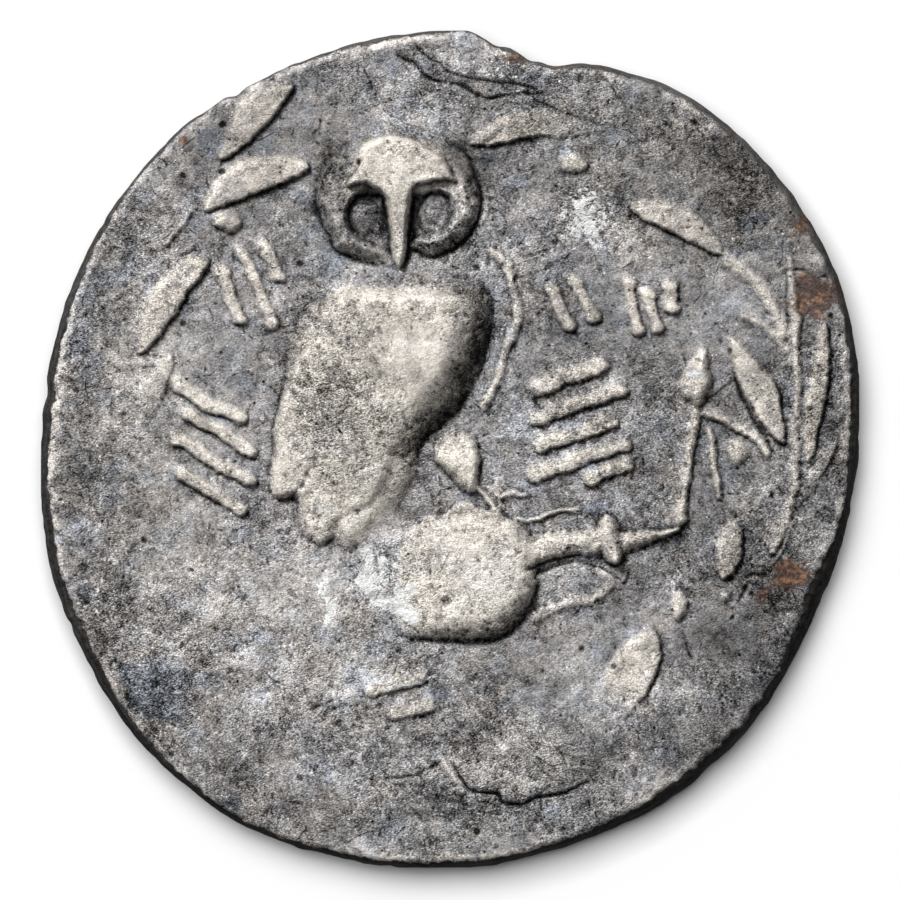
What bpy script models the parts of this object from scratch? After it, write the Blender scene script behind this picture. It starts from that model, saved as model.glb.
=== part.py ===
"""Ancient silver tetradrachm, lying flat with its owl side up.

The coin is one struck piece, so it is one solid. Its upper side has a facing
owl on an amphora that lies on its side, a palm-like emblem, an olive wreath
and groups of short raised strokes. Its underside, the hidden one, has a
plain helmeted head, worn flat, in a border of dots.

Every design is drawn in plan, in millimetres from the middle of the flan,
+X to the right and +Y to the top of the owl. A Delaunay triangulation joins
the drawn lines, and each point then takes the height of the relief there.
"""

import math

import bpy
import numpy as np
from mathutils import Vector, geometry

MM = 0.001

# Heights, in mm above the surface that the coin lies on
UNDER_FIELD = 0.70          # the underside's field; its worn head reaches down to 0
TOP_FIELD = 2.42            # the owl side's field
UNDER_RIM = 0.55            # edge of the underside
BELLY = 1.42                # where the flan is widest
TOP_RIM = 2.50              # edge of the owl side
UNDER_RIM_INSET = 0.55      # how far the underside's edge is inside the widest outline
RIM_ZONE = 0.86             # share of the radius where the field starts to turn to its edge

# Flan outline: angle in degrees, anticlockwise from +X, and radius in mm
OUTLINE = (
    (0, 16.02), (12, 16.36), (24, 16.66), (36, 16.70), (48, 16.71), (57, 16.63),
    (61, 16.50), (64, 16.31), (69, 16.14), (72, 15.86), (75, 15.56), (78, 15.66), (81, 15.85),
    (84, 15.99), (87, 16.38), (90, 16.42), (102, 16.30), (114, 16.24), (128, 16.40),
    (138, 16.30), (150, 16.18), (162, 16.04), (174, 15.97), (186, 16.11),
    (198, 16.30), (210, 16.44), (222, 16.69), (234, 16.82), (240, 16.84),
    (254, 16.62), (266, 16.47), (278, 16.36), (290, 16.16), (302, 16.18),
    (314, 16.05), (326, 15.86), (336, 15.74), (348, 15.86),
)
# How far the owl side's edge lies inside that outline: angle and distance in mm
FLANK = (
    (0, 0.46), (20, 0.42), (45, 0.30), (90, 0.12), (120, 0.16), (150, 0.24), (165, 0.42),
    (180, 0.38), (200, 0.42), (225, 0.37), (240, 0.28), (255, 0.28), (270, 0.33), (290, 0.45),
    (315, 0.58), (330, 0.78), (345, 0.50),
)
RIM_POINTS = 120
FIELD_SPACING = 2.4         # mm between the points that carry the bare field
FIELD_REACH = 18.0          # mm from the middle that rows of such points are tried
FIELD_SHARE = 0.93          # share of the edge's radius that they keep inside

# Relief heights above the field, in mm
BODY_HEIGHT = 0.95
HEAD_HEIGHT = 0.86
AMPHORA_HEIGHT = 0.66
LEAF_HEIGHT = 0.36
STROKE_HEIGHT = 0.24
THIN_HEIGHT = 0.17
TAIL_HEIGHT = 0.45
LEG_HEIGHT = 0.55
NECK_HEIGHT = 0.42
COLLAR_HEIGHT = 0.55

# How wide the sloping edge of a mound is, in mm
HEAD_EDGE = 1.6
BODY_EDGE = 2.3
TAIL_EDGE = 0.5
LEG_EDGE = 0.7
AMPHORA_EDGE = 1.5
COLLAR_EDGE = 0.36
WORN_HEAD_EDGE = 1.1

STROKE_WIDTH = 0.40
KNOB_SIZE = 0.58

# The owl
HEAD_CENTRE = (-2.02, 9.62)
HEAD_SIZE = (6.35, 5.15)
BODY = (
    (-3.30, 7.10), (-4.84, 6.86), (-5.74, 5.64), (-6.10, 4.60), (-6.50, 2.78),
    (-6.95, 1.06), (-7.05, -0.27), (-6.85, -1.50), (-6.40, -1.90), (-5.70, -1.45),
    (-5.10, -2.00), (-4.50, -2.95), (-3.70, -3.20), (-2.90, -2.68), (-1.98, -1.92),
    (-1.70, -1.10), (-1.55, -0.40), (-0.73, 0.47), (0.02, 1.22), (0.80, 2.20),
    (1.38, 3.53), (1.63, 4.65), (1.60, 5.70), (0.92, 6.50), (-0.60, 7.00),
)
BODY_MIDDLE = (-2.7, 2.9)
TAIL = ((-5.60, -1.40), (-5.95, -3.00), (-5.45, -3.62), (-4.95, -3.10), (-4.45, -2.10))
TAIL_MIDDLE = (-5.35, -2.50)
FAR_WING = ((1.60, 7.70), (2.45, 6.47), (2.61, 4.98), (2.00, 3.10), (1.35, 1.65))
FAR_WING_WIDTH = 0.36
LEG = ((0.41, 0.86), (-0.62, -0.15), (0.35, -1.25), (1.00, -1.70), (1.12, -0.30))
LEG_MIDDLE = (0.35, -0.30)
TOES = (
    ((1.25, -1.72), (1.90, -2.42)),
    ((0.15, -2.45), (0.95, -2.20)),
    ((2.20, -1.80), (2.80, -1.75)),
)
EYES = (((-3.43, 9.09), (1.14, 1.52)), ((-0.69, 9.33), (1.26, 1.52)))
SOCKET_MARGIN = 0.62        # mm by which an eye's socket is larger than the eye
SOCKET_DEPTH = 0.30
SOCKET_EDGE = 0.30
EYE_HEIGHT = 0.26
BEAK = ((-1.98, 10.35), (-1.94, 7.45))
BEAK_WIDTHS = (0.72, 0.43)
BEAK_HEIGHT = 0.16

# The amphora on its side, its foot to the right
AMPHORA = (
    (-1.60, -5.30), (-1.35, -3.90), (-0.40, -2.95), (0.80, -2.60), (2.10, -2.85),
    (3.05, -3.60), (3.42, -4.90), (3.05, -6.30), (2.20, -7.20), (0.55, -7.50),
    (-0.80, -7.20), (-1.45, -6.40),
)
AMPHORA_MIDDLE = (0.95, -5.0)
NECK = ((3.00, -4.02), (4.20, -3.80), (6.10, -3.58))
NECK_WIDTHS = (1.25, 1.10)
COLLAR_CENTRE = (6.34, -3.50)
COLLAR_SIZE = (0.74, 1.95)
FOOT = ((6.64, -3.72), (8.96, -3.18))
FOOT_WIDTHS = (1.30, 0.34)
HANDLES = (
    ((3.30, -6.62), (4.37, -6.20), (5.59, -5.88), (6.24, -5.35), (5.84, -4.74)),
    ((2.57, -2.59), (3.47, -2.56), (4.21, -2.31), (4.96, -2.27)),
)
HANDLE_WIDTH = 0.34

# The emblem at the right
BULB = ((10.09, 4.04), (9.56, 1.50), 1.30)
EMBLEM_STROKES = (
    ((9.66, 1.41), (9.04, -2.70)),
    ((10.17, 0.67), (10.56, -1.80)),
    ((10.15, 1.33), (11.15, 0.90), (11.90, 0.35), (12.50, -0.16)),
)
EMBLEM_STROKE_WIDTH = 0.36
EMBLEM_KNOB = (9.06, -2.80)
EMBLEM_KNOB_SIZE = (0.66, 0.66)

# The wreath: base, tip, width, and how far the middle bows to the left of base to tip
LEAVES = (
    ((-9.04, 11.33), (-6.12, 14.20), 1.18, 0.15),
    ((-9.58, 9.37), (-5.47, 11.13), 1.18, 0.30),
    ((-12.13, 3.65), (-9.47, 7.57), 1.12, 0.20),
    ((-11.94, 1.06), (-10.80, 3.68), 0.90, 0.20),
    ((6.10, 12.43), (0.73, 11.96), 1.20, -0.35),
    ((10.76, 7.57), (7.04, 9.49), 1.05, -0.20),
    ((9.27, 12.03), (8.76, 13.05), 0.50, 0.0),
    ((13.11, 0.16), (11.00, 4.19), 1.18, 0.12),
    ((14.00, -0.63), (14.55, 5.10), 0.80, 0.05),
    ((13.54, -2.31), (14.85, 0.20), 0.46, 0.0),
    ((10.68, -5.10), (11.07, -2.86), 0.98, 0.0),
    ((5.31, -11.00), (8.13, -7.13), 1.76, -0.15),
    ((5.40, -13.10), (0.00, -12.30), 1.60, 0.30),
)
BERRIES = (
    ((-8.72, 8.90), (1.33, 0.78)),
    ((4.88, 11.09), (1.18, 0.78)),
    ((11.30, -0.16), (0.82, 1.14)),
    ((10.68, -5.95), (0.62, 0.62)),
    ((9.00, -6.15), (0.67, 1.18)),
)
STEMS = (
    ((-11.03, 8.08), (-9.98, 9.56)),
    ((13.50, 5.84), (13.62, 2.00), (13.45, -1.20), (13.11, -3.02), (12.64, -3.76)),
    ((10.90, 7.40), (12.30, 6.30), (13.00, 4.90)),
    ((13.45, -3.15), (12.70, -4.40)),
    ((-2.25, -12.97), (-0.45, -12.35)),
)
STEM_WIDTH = 0.30

# Groups of short raised strokes with knobbed ends, in the places of the coin's writing
STROKE_GROUPS = (
    (((-8.15, 7.75), (-6.95, 4.95)), ((-8.95, 6.90), (-8.25, 5.05)), ((-7.15, 7.85), (-6.70, 6.75))),
    (((-10.55, 2.45), (-8.25, 1.15)), ((-10.15, 1.35), (-7.85, -0.05)),
     ((-10.65, 0.35), (-7.85, -1.25)), ((-10.55, -0.95), (-8.20, -2.35))),
    (((4.05, 6.15), (4.75, 4.85)), ((4.95, 6.45), (5.65, 5.15))),
    (((7.05, 6.45), (7.35, 4.65)), ((7.85, 6.05), (8.15, 4.75)), ((8.60, 6.35), (8.75, 5.55))),
    (((3.55, 2.35), (6.05, 3.25)), ((3.45, 1.15), (6.75, 2.30)), ((3.70, 0.10), (6.35, 1.05)),
     ((3.35, -1.05), (6.90, 0.15)), ((5.45, -1.15), (6.95, -0.65))),
    (((-2.75, -9.35), (-1.45, -8.95)), ((-1.85, -10.35), (-0.75, -10.00))),
)

# The split layers at the top edge: shallow furrows
FURROWS = (
    ((-1.90, 15.15), (-0.40, 14.30), (1.20, 13.85), (3.40, 13.95)),
    ((11.55, -5.05), (12.25, -4.95)),
    ((11.40, -5.90), (11.80, -5.25)),
)
FURROW_WIDTH = 0.36
FURROW_DEPTH = 0.16

# The underside, drawn as seen from below: a plain helmeted head and its border
HELMET = (
    (-5.6, 0.8), (-5.2, 4.6), (-2.6, 7.6), (1.2, 8.3), (4.5, 6.6), (5.9, 3.4),
    (5.8, 1.9), (3.0, 0.2), (0.6, -2.2), (-2.4, -3.4), (-5.0, -2.4),
)
HELMET_MIDDLE = (-0.4, 3.0)
FACE = (
    (4.9, 2.6), (5.5, 0.4), (6.6, -1.4), (5.8, -2.1), (5.9, -3.3), (5.2, -4.5),
    (4.0, -5.2), (1.8, -4.7), (-0.2, -3.6), (0.4, -0.6), (2.4, 1.8),
)
FACE_MIDDLE = (2.9, -1.6)
THROAT = (
    (-3.6, -1.6), (-4.4, -5.2), (-6.2, -8.6), (-2.4, -9.8), (2.0, -9.2), (2.6, -7.4),
    (2.2, -5.0), (1.4, -3.4),
)
THROAT_MIDDLE = (-1.8, -5.6)
CREST = ((5.0, 8.6), (1.2, 10.4), (-3.4, 9.6), (-7.2, 6.0), (-8.8, 0.6), (-8.9, -4.0))
CREST_WIDTHS = (1.5, 0.9)
CREST_HEIGHT = 0.40
VISOR = ((-4.6, -1.0), (-1.0, 0.6), (2.6, 2.6), (5.6, 3.2))
FACE_LINES = (
    ((3.75, 0.15), (4.70, -0.05)),      # the eye
    ((4.75, -2.75), (5.50, -2.65)),     # the mouth
)
VISOR_WIDTH = 0.50
VISOR_DEPTH = 0.15
LINE_WIDTH = 0.32
LINE_DEPTH = 0.12
BORDER_RADIUS = 14.3
BORDER_DOTS = 44
BORDER_FROM = 140           # degrees, where the worn border starts
BORDER_TO = 430             # and where it ends
DOT_SIZE = 0.85
DOT_HEIGHT = 0.26

SILVER = (0.32, 0.31, 0.305, 1.0)
SHARP_ANGLE = 14            # degrees between two faces from which the edge between them shows

# Corners of ovals, and steps along a leaf
ROUND = 24
SOCKET_CORNERS = 16
BEAD_CORNERS = 12
KNOB_CORNERS = 8
DOT_CORNERS = 6
LEAF_STEPS = 6

MERGE = 0.01                # points of the plan nearer than this become one
SLACK = 0.02                # a point this little inside a foot line still counts as on it


def clear_scene():
    for item in list(bpy.data.objects):
        bpy.data.objects.remove(item)


def around(rows, degrees):
    """Value at an angle of a closed table of angles and values, through a smooth curve."""
    count = len(rows)
    turn = degrees % 360.0
    last = max(i for i in range(count) if rows[i][0] <= turn)
    angles = []
    values = []
    for step in (-1, 0, 1, 2):
        index = last + step
        angles.append(rows[index % count][0] + 360.0 * (index // count))
        values.append(rows[index % count][1])
    start, end = angles[1], angles[2]
    share = (turn - start) / (end - start)
    slope_in = (values[2] - values[0]) / (angles[2] - angles[0]) * (end - start)
    slope_out = (values[3] - values[1]) / (angles[3] - angles[1]) * (end - start)
    square = share * share
    cube = square * share
    return (
        (2 * cube - 3 * square + 1) * values[1]
        + (cube - 2 * square + share) * slope_in
        + (3 * square - 2 * cube) * values[2]
        + (cube - square) * slope_out
    )


def ring(inset):
    """The flan's outline, moved inwards by inset(angle) millimetres."""
    points = []
    for index in range(RIM_POINTS):
        degrees = 360.0 * index / RIM_POINTS
        radius = around(OUTLINE, degrees) - inset(degrees)
        angle = math.radians(degrees)
        points.append((radius * math.cos(angle), radius * math.sin(angle)))
    return points


def smooth(points, spans, closed):
    """Points on a smooth curve through the given points, with spans steps between two."""
    count = len(points)
    curve = []
    last = count if closed else count - 1
    for index in range(last):
        if closed:
            four = [points[(index + step) % count] for step in (-1, 0, 1, 2)]
        else:
            four = [points[min(max(index + step, 0), count - 1)] for step in (-1, 0, 1, 2)]
        a, b, c, d = (Vector(point) for point in four)
        for step in range(spans):
            t = step / spans
            curve.append(tuple(
                0.5 * (2 * b + (c - a) * t + (2 * a - 5 * b + 4 * c - d) * t * t
                       + (3 * b - a - 3 * c + d) * t * t * t)
            ))
    if not closed:
        curve.append(tuple(points[-1]))
    return curve


def oval(centre, size, corners=ROUND):
    points = []
    for index in range(corners):
        angle = 2.0 * math.pi * index / corners
        points.append((
            centre[0] + 0.5 * size[0] * math.cos(angle),
            centre[1] + 0.5 * size[1] * math.sin(angle),
        ))
    return points


def shrunk(outline, middle, share):
    """A copy of an outline, scaled about a point inside it."""
    return [
        (middle[0] + share * (x - middle[0]), middle[1] + share * (y - middle[1]))
        for x, y in outline
    ]


def motif(outline, height, edge, closed_lines=(), open_lines=()):
    """A raised or sunk shape: its foot line, its height, and how wide its slope is."""
    return {
        "outline": outline,
        "height": height,
        "edge": edge,
        "closed": list(closed_lines),
        "open": list(open_lines),
    }


def mound(outline, middle, height, edge, shares):
    """A rounded body with rings of points inside its foot line."""
    rings = [shrunk(outline, middle, share) for share in shares]
    return motif(outline, height, edge, rings, [[middle]])


def bead(centre, size, height):
    """A small rounded oval."""
    return motif(oval(centre, size, BEAD_CORNERS), height, 0.5 * min(size), (), [[centre]])


def band(points, widths, height):
    """A ridge or furrow along a smooth line, with pointed ends and a changing width."""
    spine = smooth(points, 3 if len(points) > 2 else 1, closed=False)
    count = len(spine)
    left = []
    right = []
    for index, point in enumerate(spine):
        ahead = Vector(spine[min(index + 1, count - 1)])
        behind = Vector(spine[max(index - 1, 0)])
        along = (ahead - behind).normalized()
        across = Vector((-along.y, along.x))
        half = 0.5 * (widths[0] + (widths[1] - widths[0]) * index / (count - 1))
        left.append(tuple(Vector(point) + across * half))
        right.append(tuple(Vector(point) - across * half))
    start = Vector(spine[0]) - (Vector(spine[1]) - Vector(spine[0])).normalized() * 0.5 * widths[0]
    end = Vector(spine[-1]) + (Vector(spine[-1]) - Vector(spine[-2])).normalized() * 0.5 * widths[1]
    outline = [tuple(start)] + right + [tuple(end)] + left[::-1]
    return motif(outline, height, 0.5 * max(widths), (), [spine])


def line(points, width, height):
    """A ridge or furrow of one width."""
    return band(points, (width, width), height)


def leaf(base, tip, width, bow):
    """A pointed leaf between two points, its middle bowed to one side."""
    start = Vector(base)
    end = Vector(tip)
    along = end - start
    across = Vector((-along.y, along.x)).normalized()
    spine = []
    left = []
    right = []
    for index in range(LEAF_STEPS + 1):
        share = index / LEAF_STEPS
        arch = math.sin(math.pi * share)
        point = start + along * share + across * bow * arch
        half = 0.5 * width * arch ** 0.75
        spine.append(tuple(point))
        if 0 < index < LEAF_STEPS:
            left.append(tuple(point + across * half))
            right.append(tuple(point - across * half))
    outline = [spine[0]] + right + [spine[-1]] + left[::-1]
    return motif(outline, LEAF_HEIGHT, 0.5 * width, (), [spine])


def knobbed_stroke(start, end):
    """A short straight stroke with a round knob at each end."""
    shapes = [line((start, end), STROKE_WIDTH, STROKE_HEIGHT)]
    for point in (start, end):
        knob = oval(point, (KNOB_SIZE, KNOB_SIZE), KNOB_CORNERS)
        shapes.append(motif(knob, STROKE_HEIGHT, 0.5 * KNOB_SIZE))
    return shapes


def inside_distance(x, y, outline):
    """How far inside an outline each point lies; 0 outside it."""
    nearest = np.full(x.shape, np.inf)
    inside = np.zeros(x.shape, dtype=bool)
    count = len(outline)
    for index in range(count):
        ax, ay = outline[index]
        bx, by = outline[(index + 1) % count]
        dx, dy = bx - ax, by - ay
        share = np.clip(((x - ax) * dx + (y - ay) * dy) / (dx * dx + dy * dy), 0.0, 1.0)
        distance = np.hypot(x - ax - share * dx, y - ay - share * dy)
        nearest = np.minimum(nearest, distance)
        if ay != by:
            crosses = (ay > y) != (by > y)
            inside ^= crosses & (x < dx * (y - ay) / dy + ax)
    return np.where(inside, nearest, 0.0)


def rise(shape, x, y):
    """Height of one motif at each point: a quarter round, then level."""
    inside = inside_distance(x, y, shape["outline"]) - SLACK
    share = np.clip(inside / (shape["edge"] - 2.0 * SLACK), 0.0, 1.0)
    return shape["height"] * np.sqrt(1.0 - (1.0 - share) ** 2)


def owl():
    head = oval(HEAD_CENTRE, HEAD_SIZE)
    body = smooth(BODY, 2, closed=True)
    tail = smooth(TAIL, 3, closed=True)
    leg = smooth(LEG, 3, closed=True)
    shapes = [
        mound(head, HEAD_CENTRE, HEAD_HEIGHT, HEAD_EDGE, (0.93, 0.80, 0.62)),
        mound(body, BODY_MIDDLE, BODY_HEIGHT, BODY_EDGE, (0.94, 0.82, 0.62, 0.38)),
        mound(tail, TAIL_MIDDLE, TAIL_HEIGHT, TAIL_EDGE, (0.6,)),
        mound(leg, LEG_MIDDLE, LEG_HEIGHT, LEG_EDGE, (0.6,)),
        line(FAR_WING, FAR_WING_WIDTH, STROKE_HEIGHT),
    ]
    shapes += [line(toe, STEM_WIDTH, STROKE_HEIGHT) for toe in TOES]
    return shapes


def owl_face():
    """What is added to the head: sunk sockets, an eye in each, and the beak."""
    shapes = []
    for centre, size in EYES:
        socket = oval(centre, (size[0] + SOCKET_MARGIN, size[1] + SOCKET_MARGIN), SOCKET_CORNERS)
        floor = shrunk(socket, centre, 0.82)
        shapes.append(motif(socket, -SOCKET_DEPTH, SOCKET_EDGE, [floor]))
        shapes.append(bead(centre, size, EYE_HEIGHT))
    shapes.append(band(BEAK, BEAK_WIDTHS, BEAK_HEIGHT))
    return shapes


def amphora():
    body = smooth(AMPHORA, 2, closed=True)
    collar = oval(COLLAR_CENTRE, COLLAR_SIZE)
    shapes = [
        mound(body, AMPHORA_MIDDLE, AMPHORA_HEIGHT, AMPHORA_EDGE, (0.93, 0.78, 0.5)),
        mound(collar, COLLAR_CENTRE, COLLAR_HEIGHT, COLLAR_EDGE, (0.5,)),
        band(NECK, NECK_WIDTHS, NECK_HEIGHT),
        band(FOOT, FOOT_WIDTHS, NECK_HEIGHT),
    ]
    shapes += [line(handle, HANDLE_WIDTH, STROKE_HEIGHT) for handle in HANDLES]
    return shapes


def emblem():
    tip, base, width = BULB
    shapes = [leaf(base, tip, width, 0.0), bead(EMBLEM_KNOB, EMBLEM_KNOB_SIZE, STROKE_HEIGHT)]
    shapes += [line(points, EMBLEM_STROKE_WIDTH, STROKE_HEIGHT) for points in EMBLEM_STROKES]
    return shapes


def wreath():
    shapes = [leaf(*row) for row in LEAVES]
    shapes += [bead(centre, size, LEAF_HEIGHT) for centre, size in BERRIES]
    shapes += [line(points, STEM_WIDTH, THIN_HEIGHT) for points in STEMS]
    return shapes


def stroke_groups():
    shapes = []
    for group in STROKE_GROUPS:
        for start, end in group:
            shapes += knobbed_stroke(start, end)
    return shapes


def worn_head():
    """The underside's head: where it is highest, it is worn to one flat plane."""
    parts = (
        (HELMET, HELMET_MIDDLE, (0.92, 0.80, 0.55)),
        (FACE, FACE_MIDDLE, (0.86, 0.62)),
        (THROAT, THROAT_MIDDLE, (0.86, 0.62)),
    )
    shapes = []
    for points, middle, shares in parts:
        outline = smooth(points, 2, closed=True)
        shapes.append(mound(outline, middle, UNDER_FIELD, WORN_HEAD_EDGE, shares))
    shapes.append(band(CREST, CREST_WIDTHS, CREST_HEIGHT))
    return shapes


def border_dots():
    shapes = []
    for index in range(BORDER_DOTS):
        angle = math.radians(BORDER_FROM + (BORDER_TO - BORDER_FROM) * index / (BORDER_DOTS - 1))
        centre = (BORDER_RADIUS * math.cos(angle), BORDER_RADIUS * math.sin(angle))
        dot = oval(centre, (DOT_SIZE, DOT_SIZE), DOT_CORNERS)
        shapes.append(motif(dot, DOT_HEIGHT, 0.5 * DOT_SIZE, (), [[centre]]))
    return shapes


def mirrored(shapes):
    """The same shapes as they lie in the coin's own plan, when drawn as seen from below."""
    for shape in shapes:
        shape["outline"] = [(-x, y) for x, y in shape["outline"]]
        for kind in ("closed", "open"):
            shape[kind] = [[(-x, y) for x, y in line] for line in shape[kind]]
    return shapes


def rim_index(x, y):
    """Number of the rim point that lies nearest to the direction of a point."""
    return np.round(np.degrees(np.arctan2(y, x)) % 360.0 * RIM_POINTS / 360.0).astype(int) % RIM_POINTS


def field_points(edge):
    """Loose points over the bare field, in rows, well inside the edge."""
    limit = [FIELD_SHARE * math.hypot(x, y) for x, y in edge]
    reach = int(FIELD_REACH / FIELD_SPACING)
    points = []
    for row in range(-reach, reach + 1):
        for column in range(-reach, reach + 1):
            x = FIELD_SPACING * (column + 0.5 * (row % 2))
            y = FIELD_SPACING * row * math.sqrt(0.75)
            if math.hypot(x, y) < limit[rim_index(x, y)]:
                points.append((x, y))
    return points


def plan_lines(shapes):
    """Each line that a side's shapes draw in plan, and whether it closes on itself."""
    for shape in shapes:
        yield shape["outline"], True
        for points in shape["closed"]:
            yield points, True
        for points in shape["open"]:
            yield points, False


def sheet(edge, raised, added, field, rim, sign):
    """One side of the coin: its points in mm, and the corners of its triangles."""
    points = list(edge)
    edges = [(index, (index + 1) % len(edge)) for index in range(len(edge))]
    for drawn, closed in plan_lines(raised + added):
        first = len(points)
        points += drawn
        edges += [(first + step, first + step + 1) for step in range(len(drawn) - 1)]
        if closed:
            edges.append((first + len(drawn) - 1, first))
    points += field_points(edge)
    plan = geometry.delaunay_2d_cdt([Vector(point) for point in points], edges, [], 1, MERGE)
    x = np.array([point.x for point in plan[0]])
    y = np.array([point.y for point in plan[0]])
    relief = np.zeros(x.shape)
    for shape in raised:
        relief = np.maximum(relief, rise(shape, x, y))
    for shape in added:
        relief = relief + rise(shape, x, y)
    limit = np.array([math.hypot(px, py) for px, py in edge])[rim_index(x, y)]
    turn = np.clip((np.hypot(x, y) / limit - RIM_ZONE) / (1.0 - RIM_ZONE), 0.0, 1.0)
    ground = field + (rim - field) * turn * turn
    z = ground + sign * relief
    z[:len(edge)] = rim
    return np.column_stack((x, y, z)), [tuple(face) for face in plan[2]]


def build_coin():
    belly = ring(lambda degrees: 0.0)
    top_edge = ring(lambda degrees: around(FLANK, degrees))
    under_edge = ring(lambda degrees: UNDER_RIM_INSET)
    furrows = [line(points, FURROW_WIDTH, -FURROW_DEPTH) for points in FURROWS]
    head_lines = [line(VISOR, VISOR_WIDTH, -VISOR_DEPTH)]
    head_lines += [line(points, LINE_WIDTH, -LINE_DEPTH) for points in FACE_LINES]

    top_shapes = owl() + amphora() + emblem() + wreath() + stroke_groups()
    top, top_faces = sheet(top_edge, top_shapes, owl_face() + furrows, TOP_FIELD, TOP_RIM, 1.0)
    under, under_faces = sheet(
        under_edge, mirrored(worn_head() + border_dots()), mirrored(head_lines),
        UNDER_FIELD, UNDER_RIM, -1.0)

    middle_x = 0.5 * (max(x for x, y in belly) + min(x for x, y in belly))
    middle_y = 0.5 * (max(y for x, y in belly) + min(y for x, y in belly))
    belly_points = np.array([(x, y, BELLY) for x, y in belly])
    points = np.vstack((top, under, belly_points))
    points[:, 0] -= middle_x
    points[:, 1] -= middle_y
    first_under = len(top)
    first_belly = first_under + len(under)

    faces = [tuple(face) for face in top_faces]
    faces += [tuple(first_under + corner for corner in reversed(face)) for face in under_faces]
    for index in range(RIM_POINTS):
        after = (index + 1) % RIM_POINTS
        upper = (index, first_belly + index, first_belly + after, after)
        lower = (
            first_belly + index, first_under + index,
            first_under + after, first_belly + after,
        )
        faces += [upper, lower]

    mesh = bpy.data.meshes.new("coin")
    mesh.from_pydata([tuple(point) for point in points * MM], [], faces)
    mesh.validate()
    coin = bpy.data.objects.new("coin", mesh)
    bpy.context.collection.objects.link(coin)
    mesh.shade_smooth()
    mesh.set_sharp_from_angle(angle=math.radians(SHARP_ANGLE))
    return coin


def silver_material():
    material = bpy.data.materials.new("worn silver")
    material.use_nodes = True
    shader = material.node_tree.nodes["Principled BSDF"]
    shader.inputs["Base Color"].default_value = SILVER
    shader.inputs["Metallic"].default_value = 0.6
    shader.inputs["Roughness"].default_value = 0.5
    return material


clear_scene()
build_coin().data.materials.append(silver_material())
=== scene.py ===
"""Looks of the ancient silver tetradrachm: its carved and worn surface, toning, light and camera.

The coin's two reliefs are drawn in plan, in millimetres from the middle of the flan, +X to
the right and +Y to the top of the owl. Each motif is carved into a square field of heights,
and the fields are then read off at the points of one closed mesh that replaces the CAD coin.
The tables of places, sizes and depths are in millimetres too, and so is every height.
"""

import math
from types import SimpleNamespace

import bpy
import numpy as np
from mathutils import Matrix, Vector


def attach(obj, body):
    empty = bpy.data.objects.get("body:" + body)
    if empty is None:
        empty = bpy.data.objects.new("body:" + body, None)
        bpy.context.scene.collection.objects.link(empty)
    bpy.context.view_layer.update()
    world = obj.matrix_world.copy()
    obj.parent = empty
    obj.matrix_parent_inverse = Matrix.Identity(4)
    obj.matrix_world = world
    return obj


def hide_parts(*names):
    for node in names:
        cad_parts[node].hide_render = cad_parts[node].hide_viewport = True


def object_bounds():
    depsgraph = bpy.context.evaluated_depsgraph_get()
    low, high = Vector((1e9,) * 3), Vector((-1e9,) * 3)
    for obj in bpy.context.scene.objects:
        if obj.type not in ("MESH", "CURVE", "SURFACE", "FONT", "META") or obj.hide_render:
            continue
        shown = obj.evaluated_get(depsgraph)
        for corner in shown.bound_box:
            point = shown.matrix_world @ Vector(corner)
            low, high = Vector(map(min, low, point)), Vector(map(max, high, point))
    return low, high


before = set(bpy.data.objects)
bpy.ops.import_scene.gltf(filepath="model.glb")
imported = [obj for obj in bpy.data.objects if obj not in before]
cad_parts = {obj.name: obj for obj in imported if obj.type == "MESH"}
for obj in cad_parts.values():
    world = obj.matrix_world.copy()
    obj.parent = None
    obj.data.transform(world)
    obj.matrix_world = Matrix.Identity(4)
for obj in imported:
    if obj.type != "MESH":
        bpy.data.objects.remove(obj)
cad_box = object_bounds()

MM = 0.001

# ---------------------------------------------------------------- the flan, in mm

# Heights above the table of the two fields, the two rims and the widest outline
UNDER_FIELD = 0.7
TOP_FIELD = 2.42
UNDER_RIM = 0.55
BELLY = 1.42
TOP_RIM = 2.5

UNDER_RIM_INSET = 0.55      # how far the underside's edge lies inside the widest outline
RIM_ZONE = 0.86             # share of the radius from which a side turns to its rim's height

# The widest outline's radius, and the flank's width from above, where it is unworn: angle and mm
OUTLINE = (
    (0, 16.02), (12, 16.36), (24, 16.66), (36, 16.7), (48, 16.71), (57, 16.63), (61, 16.5),
    (64, 16.31), (69, 16.14), (72, 15.86), (75, 15.56), (78, 15.66), (81, 15.85), (84, 15.99),
    (87, 16.38), (90, 16.42), (102, 16.3), (114, 16.24), (128, 16.4), (138, 16.3), (150, 16.18),
    (162, 16.04), (174, 15.97), (186, 16.11), (198, 16.3), (210, 16.44), (222, 16.69), (234, 16.82),
    (240, 16.84), (254, 16.62), (266, 16.47), (278, 16.36), (290, 16.16), (302, 16.18), (314, 16.05),
    (326, 15.86), (336, 15.74), (348, 15.86),
)
FLANK = (
    (0, 0.39), (20, 0.4), (45, 0.3), (90, 0.12), (120, 0.16), (150, 0.24), (165, 0.36), (180, 0.4),
    (200, 0.36), (225, 0.38), (240, 0.28), (255, 0.28), (270, 0.3), (290, 0.36), (305, 0.42),
    (320, 0.4), (332, 0.46), (341, 0.62), (350, 0.38),
)
WORN_SWELL = 0.125          # how far the worn outline's high places stand out past the plain one
EDGE_LUMPS = 0.09           # depth of the worn outline's lumps
EDGE_GRAIN = 0.02           # and of the finer ones
BROKEN_AT = 322.0           # angle where the flank is most broken
BROKEN_SPREAD = 24.0
THINNEST_FLANK = 0.06
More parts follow.
